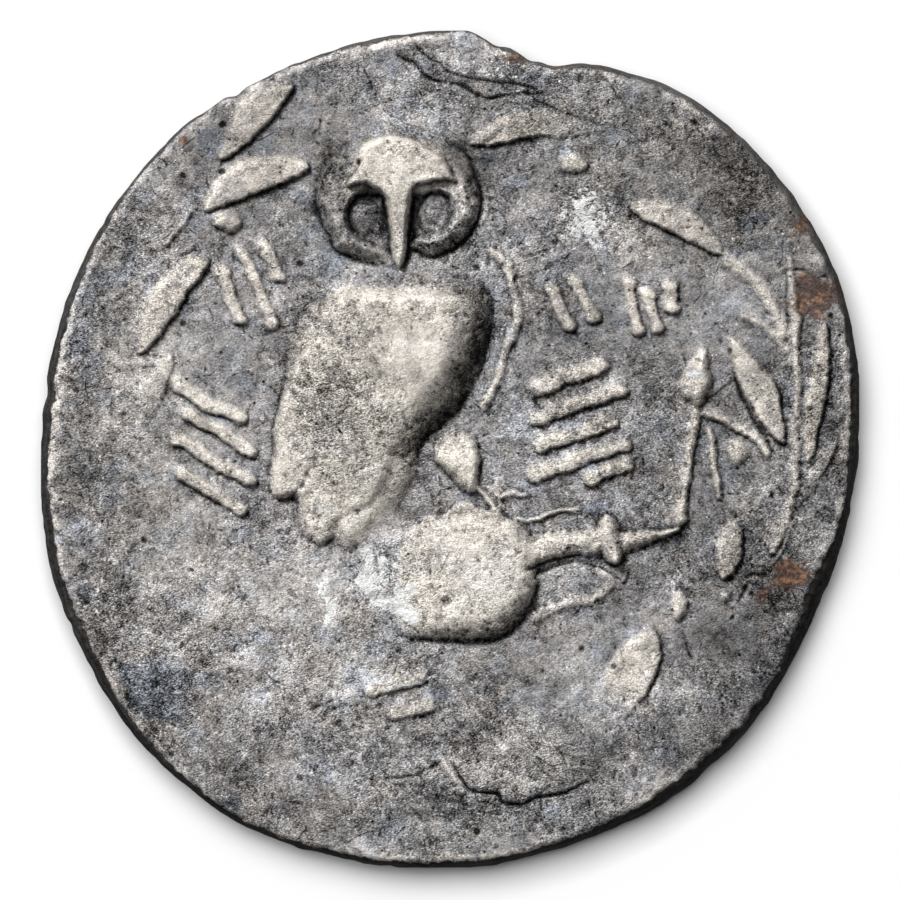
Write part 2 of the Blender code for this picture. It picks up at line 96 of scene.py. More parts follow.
# How bare the metal is along the owl side's edge, and how light the flank is, darkest from the left round to
# the lower right: angle and share
RIM_WEAR = (
    (0, 0.7), (20, 0.5), (40, 0.1), (80, 0.4), (100, 0.7), (130, 0.4), (150, 0.3), (165, 0.8),
    (172, 1.1), (198, 1.1), (204, 0.5), (225, 0.8), (238, 0.3), (250, 0.4), (262, 0.9), (275, 0.9),
    (285, 0.25), (297, 0.2), (300, 0.8), (305, 0.8), (308, 0.2), (335, 0.1), (345, 0.5), (360, 0.7),
)
FLANK_TONE = (
    (0, 0.26), (15, 0.31), (35, 0.38), (70, 0.36), (110, 0.32), (150, 0.28), (170, 0.22),
    (235, 0.21), (300, 0.21), (345, 0.22), (360, 0.26),
)
# Nicks in the edge: angle, half width in degrees, depth in mm
NICKS = (
    (172.4, 1.2, 0.14), (204.9, 0.7, 0.07), (121.0, 1.0, 0.12), (78.5, 1.4, 0.12),
    (309.5, 1.2, 0.04), (147.0, 0.8, 0.06),
)

# ---------------------------------------------------------------- the plan's square field

STEP = 0.04                 # mm between the field's samples
HALF = 17.26                # mm from the middle to the field's side
COUNT = 864
AXIS = (np.arange(COUNT) - 0.5 * (COUNT - 1)) * STEP
PLAN_X, PLAN_Y = np.meshgrid(AXIS, AXIS)
# Squared frequency of each term of the field's Fourier transform
FREQUENCY = np.fft.rfftfreq(COUNT, STEP)[None, :] ** 2 + np.fft.fftfreq(COUNT, STEP)[:, None] ** 2


def blur(field, size):
    """The field, smoothed over about size mm."""
    fall = np.exp(-2.0 * (math.pi * size) ** 2 * FREQUENCY)
    return np.fft.irfft2(np.fft.rfft2(field) * fall, s=field.shape)


def noise(size, seed, finer=0):
    """Even noise of mean 0 and spread 1, with lumps of about size mm and some finer layers."""
    generator = np.random.default_rng(seed)
    total = np.zeros(PLAN_X.shape)
    for layer in range(finer + 1):
        white = generator.standard_normal(PLAN_X.shape)
        lumps = blur(white, 0.35 * size / 2 ** layer)
        total += lumps / lumps.std() * 0.6 ** layer
    return total / total.std()


def smooth_step(low, high, value):
    share = np.clip((value - low) / (high - low), 0.0, 1.0)
    return share * share * (3.0 - 2.0 * share)


def rounded(share):
    """A quarter round: 0 at 0, level from 1 on."""
    return np.sqrt(1.0 - (1.0 - np.clip(share, 0.0, 1.0)) ** 2)


def around(rows, degrees):
    """Value at an angle of a closed table of angles and values, through a smooth curve."""
    count = len(rows)
    turn = degrees % 360.0
    last = max(i for i in range(count) if rows[i][0] <= turn)
    angles = []
    values = []
    for step in (-1, 0, 1, 2):
        index = last + step
        angles.append(rows[index % count][0] + 360.0 * (index // count))
        values.append(rows[index % count][1])
    start, end = angles[1], angles[2]
    share = (turn - start) / (end - start)
    slope_in = (values[2] - values[0]) / (angles[2] - angles[0]) * (end - start)
    slope_out = (values[3] - values[1]) / (angles[3] - angles[1]) * (end - start)
    square = share * share
    cube = square * share
    return (
        (2 * cube - 3 * square + 1) * values[1]
        + (cube - 2 * square + share) * slope_in
        + (3 * square - 2 * cube) * values[2]
        + (cube - square) * slope_out
    )


TURNS = np.arange(0.0, 360.1, 0.1)


def edge_noise(seed, waves):
    """Noise around the edge, from 0 to 1, that closes on itself."""
    generator = np.random.default_rng(seed)
    total = np.zeros(TURNS.shape)
    for wave in range(2, waves):
        strength = generator.standard_normal() / wave ** 0.6
        total += strength * np.cos(np.radians(TURNS * wave) + generator.uniform(0.0, 6.28))
    return (total - total.min()) / (total.max() - total.min())


def edge_radii():
    """Radius of the widest outline and of the owl side's edge, at each of TURNS."""
    belly = np.array([around(OUTLINE, turn) for turn in TURNS])
    flank = np.array([around(FLANK, turn) for turn in TURNS])
    belly += WORN_SWELL - EDGE_LUMPS * edge_noise(11, 90) - EDGE_GRAIN * edge_noise(12, 400)
    for angle, spread, depth in NICKS:
        belly -= depth * np.exp(-((TURNS - angle) / spread) ** 2)
    broken = np.exp(-((TURNS - BROKEN_AT) / BROKEN_SPREAD) ** 2)
    flank *= 1.0 + (0.25 + 0.5 * broken) * (edge_noise(13, 60) - 0.5)
    flank += (0.2 + 0.2 * broken) * (edge_noise(14, 240) - 0.5)
    return belly, belly - np.maximum(flank, THINNEST_FLANK)


BELLY_RADII, TOP_RADII = edge_radii()


def angle_of(x, y):
    """Angle of points about the middle, in degrees from 0 to 360."""
    return np.degrees(np.arctan2(y, x)) % 360.0


def radius_at(radii, x, y):
    return np.interp(angle_of(x, y), TURNS, radii)


def by_angle(rows, x, y):
    """Value at each point's angle, straight between the rows of a table."""
    return np.interp(angle_of(x, y), *zip(*rows))


def inside_edge(x, y, upper):
    """How far points lie inside the edge of their own side."""
    radius = np.hypot(x, y)
    top = radius_at(TOP_RADII, x, y) - radius
    return np.where(upper, top, radius_at(BELLY_RADII, x, y) - UNDER_RIM_INSET - radius)


def dished(edge, middle, rim):
    """Heights of a plain side: level, and turning to its rim's height near its edge."""
    turn = np.clip((np.hypot(PLAN_X, PLAN_Y) / edge - RIM_ZONE) / (1.0 - RIM_ZONE), 0.0, 1.0)
    return middle + (rim - middle) * turn ** 2


# ---------------------------------------------------------------- carving

WARP = 0.045                # how far wear shifts a motif's foot line here and there
WARP_X = PLAN_X + WARP * noise(1.0, 1, finer=3)
WARP_Y = PLAN_Y + WARP * noise(1.0, 2, finer=3)

WEAR_SHIFT = (-0.1, 0.16)   # the way towards which motifs are worn off
WEAR_SIZE = 0.1             # how far the worn metal is rounded off
WEAR_SHARE = 0.8            # its height, as a share of the motif's
FOOT_SLOPE = 3.0            # steepest slope of a motif's foot


def domed(share, power):
    """A worn edge's profile: 0 at 0, level from 1 on, with a slope of power at its foot."""
    return 1.0 - (1.0 - np.clip(share, 0.0, 1.0)) ** power


def window(points, margin):
    """The part of the plan that holds some points, with a margin around them."""
    low = np.min(points, axis=0) - margin
    high = np.max(points, axis=0) + margin
    first = np.clip(np.searchsorted(AXIS, low), 0, COUNT)
    last = np.clip(np.searchsorted(AXIS, high), 0, COUNT)
    return slice(first[1], last[1]), slice(first[0], last[0])


def from_segment(x, y, start, way):
    """Squared distance of points from a straight stretch, and the share of it passed there."""
    (ax, ay), (dx, dy) = start, way
    share = np.clip(((x - ax) * dx + (y - ay) * dy) / (dx * dx + dy * dy + 1e-12), 0.0, 1.0)
    return (x - ax - share * dx) ** 2 + (y - ay - share * dy) ** 2, share


def within(outline):
    """A window and the distance inside a smooth closed outline there, negative outside."""
    points = np.array(smooth(outline, 5, True))
    area = window(points, 0.8)
    x, y = WARP_X[area], WARP_Y[area]
    nearest = np.full(x.shape, np.inf)
    inside = np.zeros(x.shape, dtype=bool)
    for start, end in zip(points, np.roll(points, -1, axis=0)):
        nearest = np.minimum(nearest, from_segment(x, y, start, end - start)[0])
        (ax, ay), (dx, dy) = start, end - start
        if dy:
            crosses = (ay > y) != (end[1] > y)
            inside ^= crosses & (x < dx * (y - ay) / dy + ax)
    distance = np.sqrt(nearest)
    return area, np.where(inside, distance, -distance)


def beside(points):
    """A window, and there the distance from a smooth line and the share along it."""
    curve = np.array(smooth(points, 6 if len(points) > 2 else 2, False))
    area = window(curve, 1.8)
    x, y = WARP_X[area], WARP_Y[area]
    ways = np.diff(curve, axis=0)
    lengths = np.hypot(*ways.T)
    passed = np.concatenate(([0.0], np.cumsum(lengths)))
    nearest = np.full(x.shape, np.inf)
    along = np.zeros(x.shape)
    for start, way, length, before in zip(curve, ways, lengths, passed):
        distance, share = from_segment(x, y, start, way)
        closer = distance < nearest
        nearest = np.where(closer, distance, nearest)
        along = np.where(closer, (before + share * length) / passed[-1], along)
    return area, np.sqrt(nearest), along


class Relief:
    """One side's heights above its field."""

    def __init__(self):
        self.height = np.zeros(PLAN_X.shape)

    def put(self, area, distance, height, edge, blend, power=2.2):
        """Raises the relief to a domed value where that is higher, with a fillet at its foot."""
        slope = np.minimum(power * np.mean(height) / np.mean(edge), FOOT_SLOPE)
        value = np.where(distance > 0.0, height * domed(distance / edge, power), slope * distance)
        here = self.height[area]
        near = np.clip(blend - np.abs(value - here), 0.0, None) / blend
        self.height[area] = np.maximum(here, value) + 0.25 * blend * near * near

    def mound(self, outline, height, edge, blend=0.08, scale=None, power=2.2):
        """A raised outline; edge, how far its side reaches in, may be a function of the place."""
        area, distance = within(outline)
        if callable(edge):
            edge = edge(PLAN_X[area], PLAN_Y[area])
        if scale is not None:
            height = height * scale(PLAN_X[area], PLAN_Y[area])
        self.put(area, distance, height, edge, blend, power)

    def ridge(self, points, widths, height, blend=0.08, edge=None):
        """A raised line; its width and height may be functions of the share along it."""
        area, distance, along = beside(points)
        half = 0.5 * (widths(along) if callable(widths) else widths) + 1e-6
        if callable(height):
            height = height(along)
        side = half
        if edge is not None:
            height = height * smooth_step(0.0, edge, half)
            side = np.minimum(half, edge)
        self.put(area, half - distance, height, side, blend)

    def ridges(self, rows):
        for row in rows:
            self.ridge(*row)

    def cut(self, points, width, depth, taper=True):
        """A furrow along a smooth line."""
        area, distance, along = beside(points)
        ends = np.sin(math.pi * np.clip(along, 0.02, 0.98)) ** 0.4 if taper else 1.0
        self.height[area] -= depth * np.exp(-(distance / (0.5 * width)) ** 2) * ends

    def cuts(self, rows):
        for row in rows:
            self.cut(*row)

    def sink(self, outline, level, edge):
        """Lowers the inside of an outline to a level, with sloping walls."""
        area, distance = within(outline)
        share = smooth_step(0.0, edge, distance)
        here = self.height[area]
        self.height[area] = here + (np.minimum(here, level) - here) * share

    def lean(self):
        """Rounds off the side of every motif that wear has reached, the upper left one."""
        columns, rows = (round(way / STEP) for way in WEAR_SHIFT)
        moved = np.roll(self.height, (rows, columns), (0, 1))
        self.height = np.maximum(self.height, WEAR_SHARE * blur(moved, WEAR_SIZE))

    def scratches(self, count, seed, middle, spread, lengths, depth, degrees):
        """Short furrows about one direction, round a place."""
        generator = np.random.default_rng(seed)
        for _ in range(count):
            x = middle[0] + 0.5 * spread[0] * generator.uniform(-1.0, 1.0)
            y = middle[1] + 0.5 * spread[1] * generator.uniform(-1.0, 1.0)
            angle = math.radians(degrees + generator.normal(0.0, 28.0))
            half = 0.5 * generator.uniform(*lengths)
            dx, dy = half * math.cos(angle), half * math.sin(angle)
            bow = generator.uniform(-0.25, 0.25)
            line = ((x - dx, y - dy), (x - bow * dy, y + bow * dx), (x + dx, y + dy))
            width = generator.uniform(0.07, 0.16)
            self.cut(line, width, depth * generator.uniform(0.4, 1.0))

    def pit(self, centre, radius, depth):
        """A round hole with steep sides."""
        area = window(np.array([centre]), 3.0 * radius + STEP)
        distance = np.hypot(PLAN_X[area] - centre[0], PLAN_Y[area] - centre[1])
        self.height[area] -= depth * np.exp(-(distance / radius) ** 4)


def smooth(points, spans, closed):
    """Points on a smooth curve through the given points, with spans steps between two."""
    count = len(points)
    curve = []
    for index in range(count if closed else count - 1):
        near = [index + step for step in (-1, 0, 1, 2)]
        if not closed:
            near = [min(max(number, 0), count - 1) for number in near]
        a, b, c, d = (np.array(points[number % count]) for number in near)
        for step in range(spans):
            t = step / spans
            curve.append(tuple(
                0.5 * (2 * b + (c - a) * t + (2 * a - 5 * b + 4 * c - d) * t * t
                       + (3 * b - a - 3 * c + d) * t * t * t)
            ))
    if not closed:
        curve.append(tuple(points[-1]))
    return curve


def oval(centre, size, corners=20):
    turns = [2 * math.pi * corner / corners for corner in range(corners)]
    return [
        (centre[0] + 0.5 * size[0] * math.cos(turn), centre[1] + 0.5 * size[1] * math.sin(turn))
        for turn in turns
    ]


def lens(width):
    """Width along a leaf: pointed at both ends."""
    return lambda along: width * np.sin(math.pi * np.clip(along, 0.0, 1.0)) ** 0.6 + 0.02


def tapered(start, end):
    """Width along a line that narrows or widens evenly."""
    return lambda along: start + (end - start) * along


# ---------------------------------------------------------------- the owl

# Outlines of the owl's parts; the brow goes on into the beak
HEAD = (
    (-5.23, 10.62), (-5.19, 9.76), (-5.08, 8.9), (-4.84, 8.39), (-4.53, 7.84), (-3.86, 7.49),
    (-3.16, 7.25), (-2.37, 7.17), (-1.94, 7.02), (-1.67, 7.33), (-1.35, 7.72), (-0.65, 7.53),
    (0.06, 7.76), (0.65, 8.23), (1.08, 8.9), (1.2, 9.64), (1.16, 10.58), (0.8, 11.41), (0.33, 11.84),
    (-0.45, 12.23), (-1.35, 12.31), (-2.37, 12.31), (-3.47, 12.15), (-4.21, 11.88), (-4.72, 11.49),
)
BROW = (
    (-3.4, 12.09), (-2.77, 12.33), (-2.0, 12.33), (-1.29, 12.19), (-0.73, 11.88), (-0.16, 11.46),
    (0.25, 10.83), (0.42, 10.47), (-0.02, 10.36), (-0.73, 10.36), (-1.29, 10.19), (-1.47, 9.84),
    (-1.5, 9.07), (-1.53, 8.36), (-1.6, 7.56), (-1.86, 7.02), (-2.22, 7.36), (-2.33, 8.36),
    (-2.39, 9.21), (-2.53, 9.84), (-2.98, 10.17), (-3.54, 10.27), (-4.1, 10.13), (-4.25, 10.41),
    (-3.94, 10.76), (-3.61, 11.18), (-3.61, 11.67),
)
LEFT_SOCKET = (
    (-4.16, 9.73), (-3.8, 10.08), (-3.2, 10.25), (-2.4, 10.2), (-1.95, 9.8), (-1.95, 7.3),
    (-2.3, 7.22), (-2.85, 7.68), (-3.45, 7.98), (-3.97, 8.42), (-4.24, 9.01),
)
RIGHT_SOCKET = (
    (-1.95, 9.9), (-1.2, 10.2), (-0.5, 10.22), (0.14, 10.02), (0.36, 9.4), (0.22, 8.76),
    (-0.24, 8.36), (-0.96, 8.22), (-1.25, 8.0), (-1.6, 7.6), (-1.95, 7.5),
)
LEFT_EYE = (
    (-3.94, 9.64), (-3.43, 9.76), (-2.84, 9.68), (-2.8, 9.02), (-3.04, 8.51), (-3.31, 8.23),
    (-3.7, 8.62), (-4.02, 9.21),
)
RIGHT_EYE = (-0.58, 9.28)
BODY = (
    (-4.85, 6.1), (-5.4, 5.75), (-5.9, 5.2), (-6.3, 4.45), (-6.45, 3.4), (-6.52, 2.5), (-6.76, 1.4),
    (-6.98, 0.2), (-7.06, -0.8), (-6.98, -1.6), (-6.6, -1.98), (-6.22, -1.92), (-5.96, -2.05),
    (-5.96, -2.7), (-5.74, -3.37), (-5.18, -3.78), (-4.66, -3.52), (-4.32, -2.9), (-3.9, -2.6),
    (-3.2, -2.3), (-2.6, -1.95), (-2.1, -1.55), (-1.75, -1.0), (-1.4, -0.35), (-0.73, 0.47),
    (0.02, 1.22), (0.8, 2.2), (1.39, 3.53), (1.66, 4.59), (1.7, 5.53), (1.42, 6.3), (1.0, 6.95),
    (0.6, 7.7), (-0.5, 8.2), (-2.0, 8.4), (-3.8, 8.0), (-4.5, 7.2),
)
# Furrows that part the wing's tip and the tail from the body: line, width, depth
FEATHER_LINES = (
    (((-6.2, -1.98), (-5.86, -1.45), (-5.52, -1.12), (-5.2, -0.6), (-5.05, 0.2)), 0.2, 0.12),
    (((-5.05, -1.05), (-4.62, -1.35), (-4.3, -2.0), (-4.2, -2.75)), 0.22, 0.1),
    (((-5.6, 3.3), (-5.3, 1.9), (-5.25, 0.6)), 0.16, 0.05),
    (((-5.15, -1.65), (-5.25, -2.3), (-5.2, -3.0)), 0.12, 0.05),
)
# Middle line of the wing's edge behind the body
FAR_WING = (
    (1.63, 7.72), (2.06, 7.29), (2.45, 6.47), (2.61, 5.72), (2.61, 4.98), (2.29, 4.0), (1.9, 2.94),
    (1.55, 2.04), (1.31, 1.61),
)
# The worn upper legs, between the tail and the amphora
SHANKS = (
    (-4.3, -0.8), (-2.6, 0.4), (-1.5, -0.1), (-1.6, -1.2), (-2.2, -2.4), (-3.0, -3.2), (-3.9, -3.9),
    (-4.6, -3.4), (-4.5, -2.2),
)
LEG = (
    (0.33, 0.9), (-0.14, 0.59), (-0.61, 0.0), (-0.61, -0.51), (-0.25, -0.82), (0.1, -1.29),
    (0.65, -1.76), (1.04, -1.69), (1.16, -1.14), (1.16, -0.27), (0.96, 0.43),
)
# The foot's toes: line, width, height
TOES = (
    (((1.04, -1.53), (1.47, -1.92), (1.95, -2.52)), 0.3, 0.17),
    (((-0.1, -2.5), (0.45, -2.22), (1.02, -2.34)), lens(0.46), 0.16),
    (((2.08, -1.8), (2.5, -1.7), (2.95, -1.78)), 0.28, 0.14),
)
# Sets of scratches: count, seed, middle, spread, shortest and longest, depth, direction
BODY_SCRATCHES = (
    (60, 81, (-4.3, 1.2), (3.6, 6.4), (0.3, 1.0), 0.06, -38),
    (24, 82, (0.7, 3.6), (1.4, 4.0), (0.3, 0.8), 0.04, -62),
    (14, 83, (-5.2, -2.4), (1.4, 2.4), (0.3, 0.8), 0.06, 80),
)
HEAD_SCRATCHES = (
    (26, 84, (-4.5, 10.4), (1.2, 3.0), (0.3, 0.9), 0.05, 75),
    (20, 85, (0.6, 10.6), (1.0, 2.4), (0.3, 0.8), 0.05, -60),
)
LOWER_HEAD = HEAD[1:19]     # the head's edge, from the left round below to the right
BEAK_SIDES = (
    ((-2.36, 9.9), (-2.5, 8.9), (-2.4, 7.9), (-2.15, 7.3)),
    ((-1.46, 9.9), (-1.44, 8.9), (-1.42, 8.0), (-1.62, 7.4)),
)
BROW_SHADES = (
    ((-4.05, 10.05), (-3.4, 10.22), (-2.75, 10.12)),
    ((-1.3, 10.14), (-0.5, 10.28), (0.25, 10.16)),
)


def carve_owl(relief):
    # The breast is highest right of its middle, and falls slowly to the folded wing
    def breast(x, y):
        across = smooth_step(-8.0, -1.8, x)
        low = smooth_step(-4.8, 1.6, y)
        below_neck = smooth_step(6.34, 5.8, y)
        return (0.44 + 0.56 * across) * (0.42 + 0.58 * low) * (0.3 + 0.7 * below_neck)

    # Its edge is a long slope at the right and at the shoulder, and short along the wing
    def slope(x, y):
        shoulder = smooth_step(2.2, 5.0, y) * smooth_step(-3.6, -4.8, x)
        right = smooth_step(-3.6, -1.6, x) * smooth_step(-2.4, -0.6, y)
        neck = smooth_step(6.0, 6.5, y)
        return 0.34 + np.maximum(0.8 * np.maximum(shoulder, neck), 1.3 * right)

    # The leg rises from the body to the foot
    def thigh(x, y):
        return 0.4 + 0.6 * smooth_step(0.7, -0.7, y)

    relief.mound(BODY, 0.97, slope, blend=0.06, scale=breast, power=1.5)
    relief.cuts(FEATHER_LINES)
    for row in BODY_SCRATCHES:
        relief.scratches(*row)
    relief.mound(SHANKS, 0.4, 0.8, blend=0.3)
    relief.ridge(FAR_WING, 0.42, 0.16)
    relief.mound(LEG, 0.5, 0.42, blend=0.1, scale=thigh)
    relief.ridges(TOES)


def carve_head(relief):
    # The crown's two sides fall away from the forehead
    def crown(x, y):
        return 1.0 - 0.42 * smooth_step(9.9, 11.6, y) * smooth_step(1.4, 2.8, np.abs(x + 2.0))

    # The brow is lower towards the beak's tip
    def brow(x, y):
        return 0.72 + 0.28 * smooth_step(7.2, 9.6, y)

    relief.mound(HEAD, 0.6, 0.62, blend=0.04, scale=crown, power=1.3)
    for row in HEAD_SCRATCHES:
        relief.scratches(*row)
    relief.sink(LEFT_SOCKET, 0.16, 0.34)
    relief.sink(RIGHT_SOCKET, 0.15, 0.34)
    relief.mound(LEFT_EYE, 0.3, 0.4, blend=0.06)
    for size, height in ((1.24, 0.24), (0.84, 0.29), (0.46, 0.34)):
        relief.mound(oval(RIGHT_EYE, (size, 1.25 * size)), height, 0.12, blend=0.03)
    for outline in (LEFT_EYE, oval(RIGHT_EYE, (1.3, 1.62))):
        relief.cut(list(outline) + [outline[0]], 0.09, 0.05, taper=False)
    relief.cut(oval(RIGHT_EYE, (0.66, 0.84), 14), 0.08, 0.04, taper=False)
    # Lines across the worn left eye
    for shift in (0.0, 0.15, 0.29):
        relief.cut(((-3.86, 9.56 - shift), (-3.4, 9.62 - shift), (-2.88, 9.5 - shift)), 0.07, 0.04)
    # The collar's short feathers, right and left of the beak
    for index in range(6):
        x, y = -1.3 + 0.27 * index, 8.2 - 0.09 * index + 0.045 * index * index
        relief.cut(((x, y), (x + 0.4, y - 0.3)), 0.09, 0.07)
    for index in range(4):
        x, y = -4.0 + 0.34 * index, 8.5 - 0.24 * index
        relief.cut(((x, y), (x + 0.3, y - 0.36)), 0.08, 0.05)
    for points in BEAK_SIDES:
        relief.cut(points, 0.34, 0.12, taper=False)
    for points in BROW_SHADES:
        relief.cut(points, 0.26, 0.1)
    relief.mound(BROW, 0.92, 0.3, blend=0.1, scale=brow)
    relief.cut(LOWER_HEAD, 0.16, 0.12, taper=False)
    # Nicks in the neck and the breast, and a pit in the crown
    relief.cut(((-1.7, 7.4), (-1.78, 6.75), (-2.05, 6.2)), 0.09, 0.1)
    relief.cut(((-3.15, 1.42), (-2.75, 0.9), (-2.42, 0.55)), 0.12, 0.07)
    relief.pit((-2.4, 12.02), 0.09, 0.14)


# ---------------------------------------------------------------- the amphora and the emblem

AMPHORA = (
    (-1.94, -7.29), (-2.45, -6.39), (-2.65, -5.14), (-2.41, -3.96), (-1.63, -3.02), (-0.45, -2.51),
    (0.92, -2.31), (2.18, -2.51), (3.08, -3.18), (3.43, -4.08), (3.51, -5.14), (3.16, -6.15),
    (2.45, -6.98), (1.59, -7.37), (0.53, -7.53), (-0.76, -7.49),
)
# The furrow along the amphora's lower edge
AMPHORA_FOOT = (
    (-2.3, -7.35), (-0.76, -7.6), (0.53, -7.66), (1.7, -7.48), (2.62, -7.0), (3.3, -6.18),
    (3.64, -5.3), (3.8, -4.8),
)
# The emblem's round top
BULB = (
    (9.66, 1.57), (9.19, 1.92), (9.04, 2.39), (9.35, 3.18), (9.74, 3.65), (10.09, 4.04),
    (10.25, 3.41), (10.37, 2.63), (10.13, 1.92),
)
NECK = ((2.2, -4.2), (4.33, -3.8), (5.59, -3.61), (6.13, -3.49))
STOPPER = ((6.4, -3.72), (7.78, -3.41), (8.88, -3.21))
MOUTH = ((6.22, -2.5), (6.3, -3.49), (6.55, -4.5))
UPPER_HANDLE = ((2.61, -2.7), (3.47, -2.72), (4.21, -2.45), (5.04, -2.37))
LOWER_HANDLE = (
    (3.35, -6.62), (4.37, -6.19), (5.59, -5.88), (6.17, -5.53), (6.29, -5.17), (5.82, -4.74),
)
# The emblem's stalk, its side shoots and the spike on its bulb: line, width and height
EMBLEM_STALKS = (
    (((9.66, 1.45), (9.43, 0.04), (9.27, -1.41), (9.08, -2.65)), 0.44, 0.23),
    (((10.13, 0.82), (10.4, -0.43), (10.56, -1.84)), 0.32, 0.18),
    (((9.98, 1.45), (11.15, 0.95), (11.9, 0.38), (12.45, -0.18)), 0.38, 0.19),
    (((10.09, 1.98), (10.6, 2.38), (11.05, 2.8)), 0.12, 0.07),
)


def carve_amphora(relief):
    # The body is lowest at its worn left side
    def worn(x, y):
        return 0.06 + 0.94 * smooth_step(-2.8, 0.4, x)

    relief.ridge(UPPER_HANDLE, 0.26, 0.15)
    relief.ridge(LOWER_HANDLE, 0.5, 0.13)
    relief.mound(AMPHORA, 0.66, 0.85, power=2.0, scale=worn)
    relief.ridge(NECK, tapered(1.4, 1.05), 0.45, blend=0.25)
    relief.cut(AMPHORA_FOOT, 0.24, 0.16)
    # Two folds and some scratches in the neck
    relief.cut(((2.9, -4.72), (3.9, -4.4), (5.3, -4.16)), 0.12, 0.14)
    relief.cut(((3.3, -4.98), (4.1, -4.66), (5.0, -4.44)), 0.14, 0.12)
    relief.scratches(10, 86, (4.4, -3.8), (2.6, 0.7), (0.3, 0.7), 0.05, 12)
    relief.ridge(STOPPER, tapered(1.1, 0.3), 0.34, blend=0.15)
    relief.ridge(MOUTH, lens(1.15), 0.56)
    relief.ridge(((6.15, -4.5), (6.72, -5.3), (7.05, -4.7)), 0.14, 0.08)


def carve_emblem(relief):
    relief.mound(BULB, 0.4, 0.55)
    relief.ridges(EMBLEM_STALKS)
    relief.mound(oval((9.08, -2.82), (0.66, 0.62)), 0.25, 0.3)
    relief.mound(oval((11.28, -0.14), (0.8, 1.1)), 0.22, 0.36)


# ---------------------------------------------------------------- the wreath

# Middle line from base to tip, width, height, and the height's share at the base
LEAVES = (
    (((-9.04, 11.33), (-7.75, 12.98), (-6.14, 14.3)), 1.18, 0.3, 0.8),
    (((-9.58, 9.37), (-7.82, 10.62), (-5.47, 11.13)), 1.2, 0.34, 0.8),
    (((-12.13, 3.65), (-11.03, 6.0), (-9.47, 7.57)), 1.15, 0.34, 0.7),
    (((-11.94, 1.06), (-11.62, 2.23), (-10.8, 3.68)), 0.8, 0.14, 0.4),
    (((6.1, 12.55), (3.4, 12.72), (0.73, 11.9)), 1.05, 0.27, 0.25),
    (((10.76, 7.57), (9.1, 8.9), (7.04, 9.49)), 1.05, 0.32, 0.7),
    (((9.27, 12.03), (9.05, 12.6), (8.76, 13.05)), 0.5, 0.2, 0.6),
    (((13.11, 0.16), (12.2, 2.2), (11.0, 4.19)), 1.2, 0.34, 0.9),
    (((14.0, -0.63), (14.42, 2.3), (14.8, 5.1)), 0.82, 0.28, 0.8),
    (((13.54, -2.31), (14.3, -1.0), (15.2, 0.5)), 0.6, 0.16, 0.6),
    (((10.68, -5.1), (10.98, -4.0), (11.07, -2.86)), 0.98, 0.28, 0.8),
    (((5.31, -11.0), (6.9, -9.3), (8.13, -7.13)), 1.8, 0.26, 0.0),
)
# Place, size and height
BERRIES = (
    ((-8.72, 8.9), (1.33, 0.78), 0.26),
    ((4.88, 11.09), (1.18, 0.78), 0.22),
    ((10.68, -5.84), (0.58, 0.6), 0.18),
    ((9.0, -6.15), (0.67, 1.18), 0.26),
)
# Line, width and height
STEMS = (
    (((-11.03, 8.08), (-10.4, 8.95), (-9.98, 9.56)), 0.28, 0.12),
    (((13.5, 5.84), (13.62, 2.0), (13.45, -1.2), (13.11, -3.02), (12.64, -3.9)), 0.42, 0.18),
    (((13.45, -2.86), (13.1, -3.7), (12.64, -4.43)), 0.2, 0.1),
    (((10.9, 7.4), (12.1, 6.5), (12.75, 5.5), (13.15, 4.5)), 0.62, 0.18),
    (((11.6, 5.25), (12.4, 4.8), (13.19, 3.98)), 0.52, 0.13),
    (((13.31, 7.49), (13.55, 6.0), (13.62, 4.66)), 0.36, 0.16),
    (((-0.29, -12.31), (0.15, -12.9), (0.53, -13.48)), 0.26, 0.13),
)
# The worn leaf above the crack at the bottom
LOW_LEAF = (
    (-0.1, -12.31), (0.65, -13.25), (1.63, -13.56), (2.3, -13.96), (3.35, -13.68), (4.25, -13.56),
    (5.39, -13.13), (5.8, -12.0), (4.6, -10.9), (2.8, -10.6), (0.9, -11.1),
)


def rising(height, base):
    """Height along a leaf that is worn at its base."""
    return lambda along: 0.85 * height * (base + (1.0 - base) * smooth_step(0.1, 0.7, along))


def carve_wreath(relief):
    relief.mound(LOW_LEAF, 0.1, 0.5)
    relief.ridges(STEMS)
    for points, width, height, base in LEAVES:
        relief.ridge(points, lens(width), rising(height, base), edge=0.15)
    for centre, size, height in BERRIES:
        relief.mound(oval(centre, size), height, 0.3)


# ---------------------------------------------------------------- the rows of strokes

STROKE_WIDTH = 0.5
STROKE_END = (0.68, 0.56)   # size of the swelling at each end of a stroke
# Groups of strokes, each from one point to another
STROKE_GROUPS = (
    (((-8.15, 7.75), (-6.95, 4.95)), ((-8.95, 6.9), (-8.25, 5.05)), ((-7.15, 7.85), (-6.7, 6.75))),
    (((-10.55, 2.45), (-8.25, 1.15)), ((-10.15, 1.35), (-7.85, -0.05)),
     ((-10.65, 0.35), (-7.85, -1.25)), ((-10.55, -0.95), (-8.2, -2.35))),
    (((4.05, 6.15), (4.75, 4.85)), ((4.95, 6.45), (5.65, 5.15))),
    (((7.05, 6.45), (7.35, 4.65)), ((7.85, 6.05), (8.15, 4.75)), ((8.6, 6.35), (8.75, 5.55))),
    (((3.55, 2.35), (6.05, 3.25)), ((3.45, 1.15), (6.75, 2.3)), ((3.7, 0.1), (6.35, 1.05)),
     ((3.35, -1.05), (6.9, 0.15)), ((5.45, -1.15), (6.95, -0.65))),
    (((-3.05, -9.45), (-1.15, -8.95)), ((-2.15, -10.45), (-0.75, -10.05))),
)
WORN_GROUP = 5              # number of the group in the worn lower part, which is lower


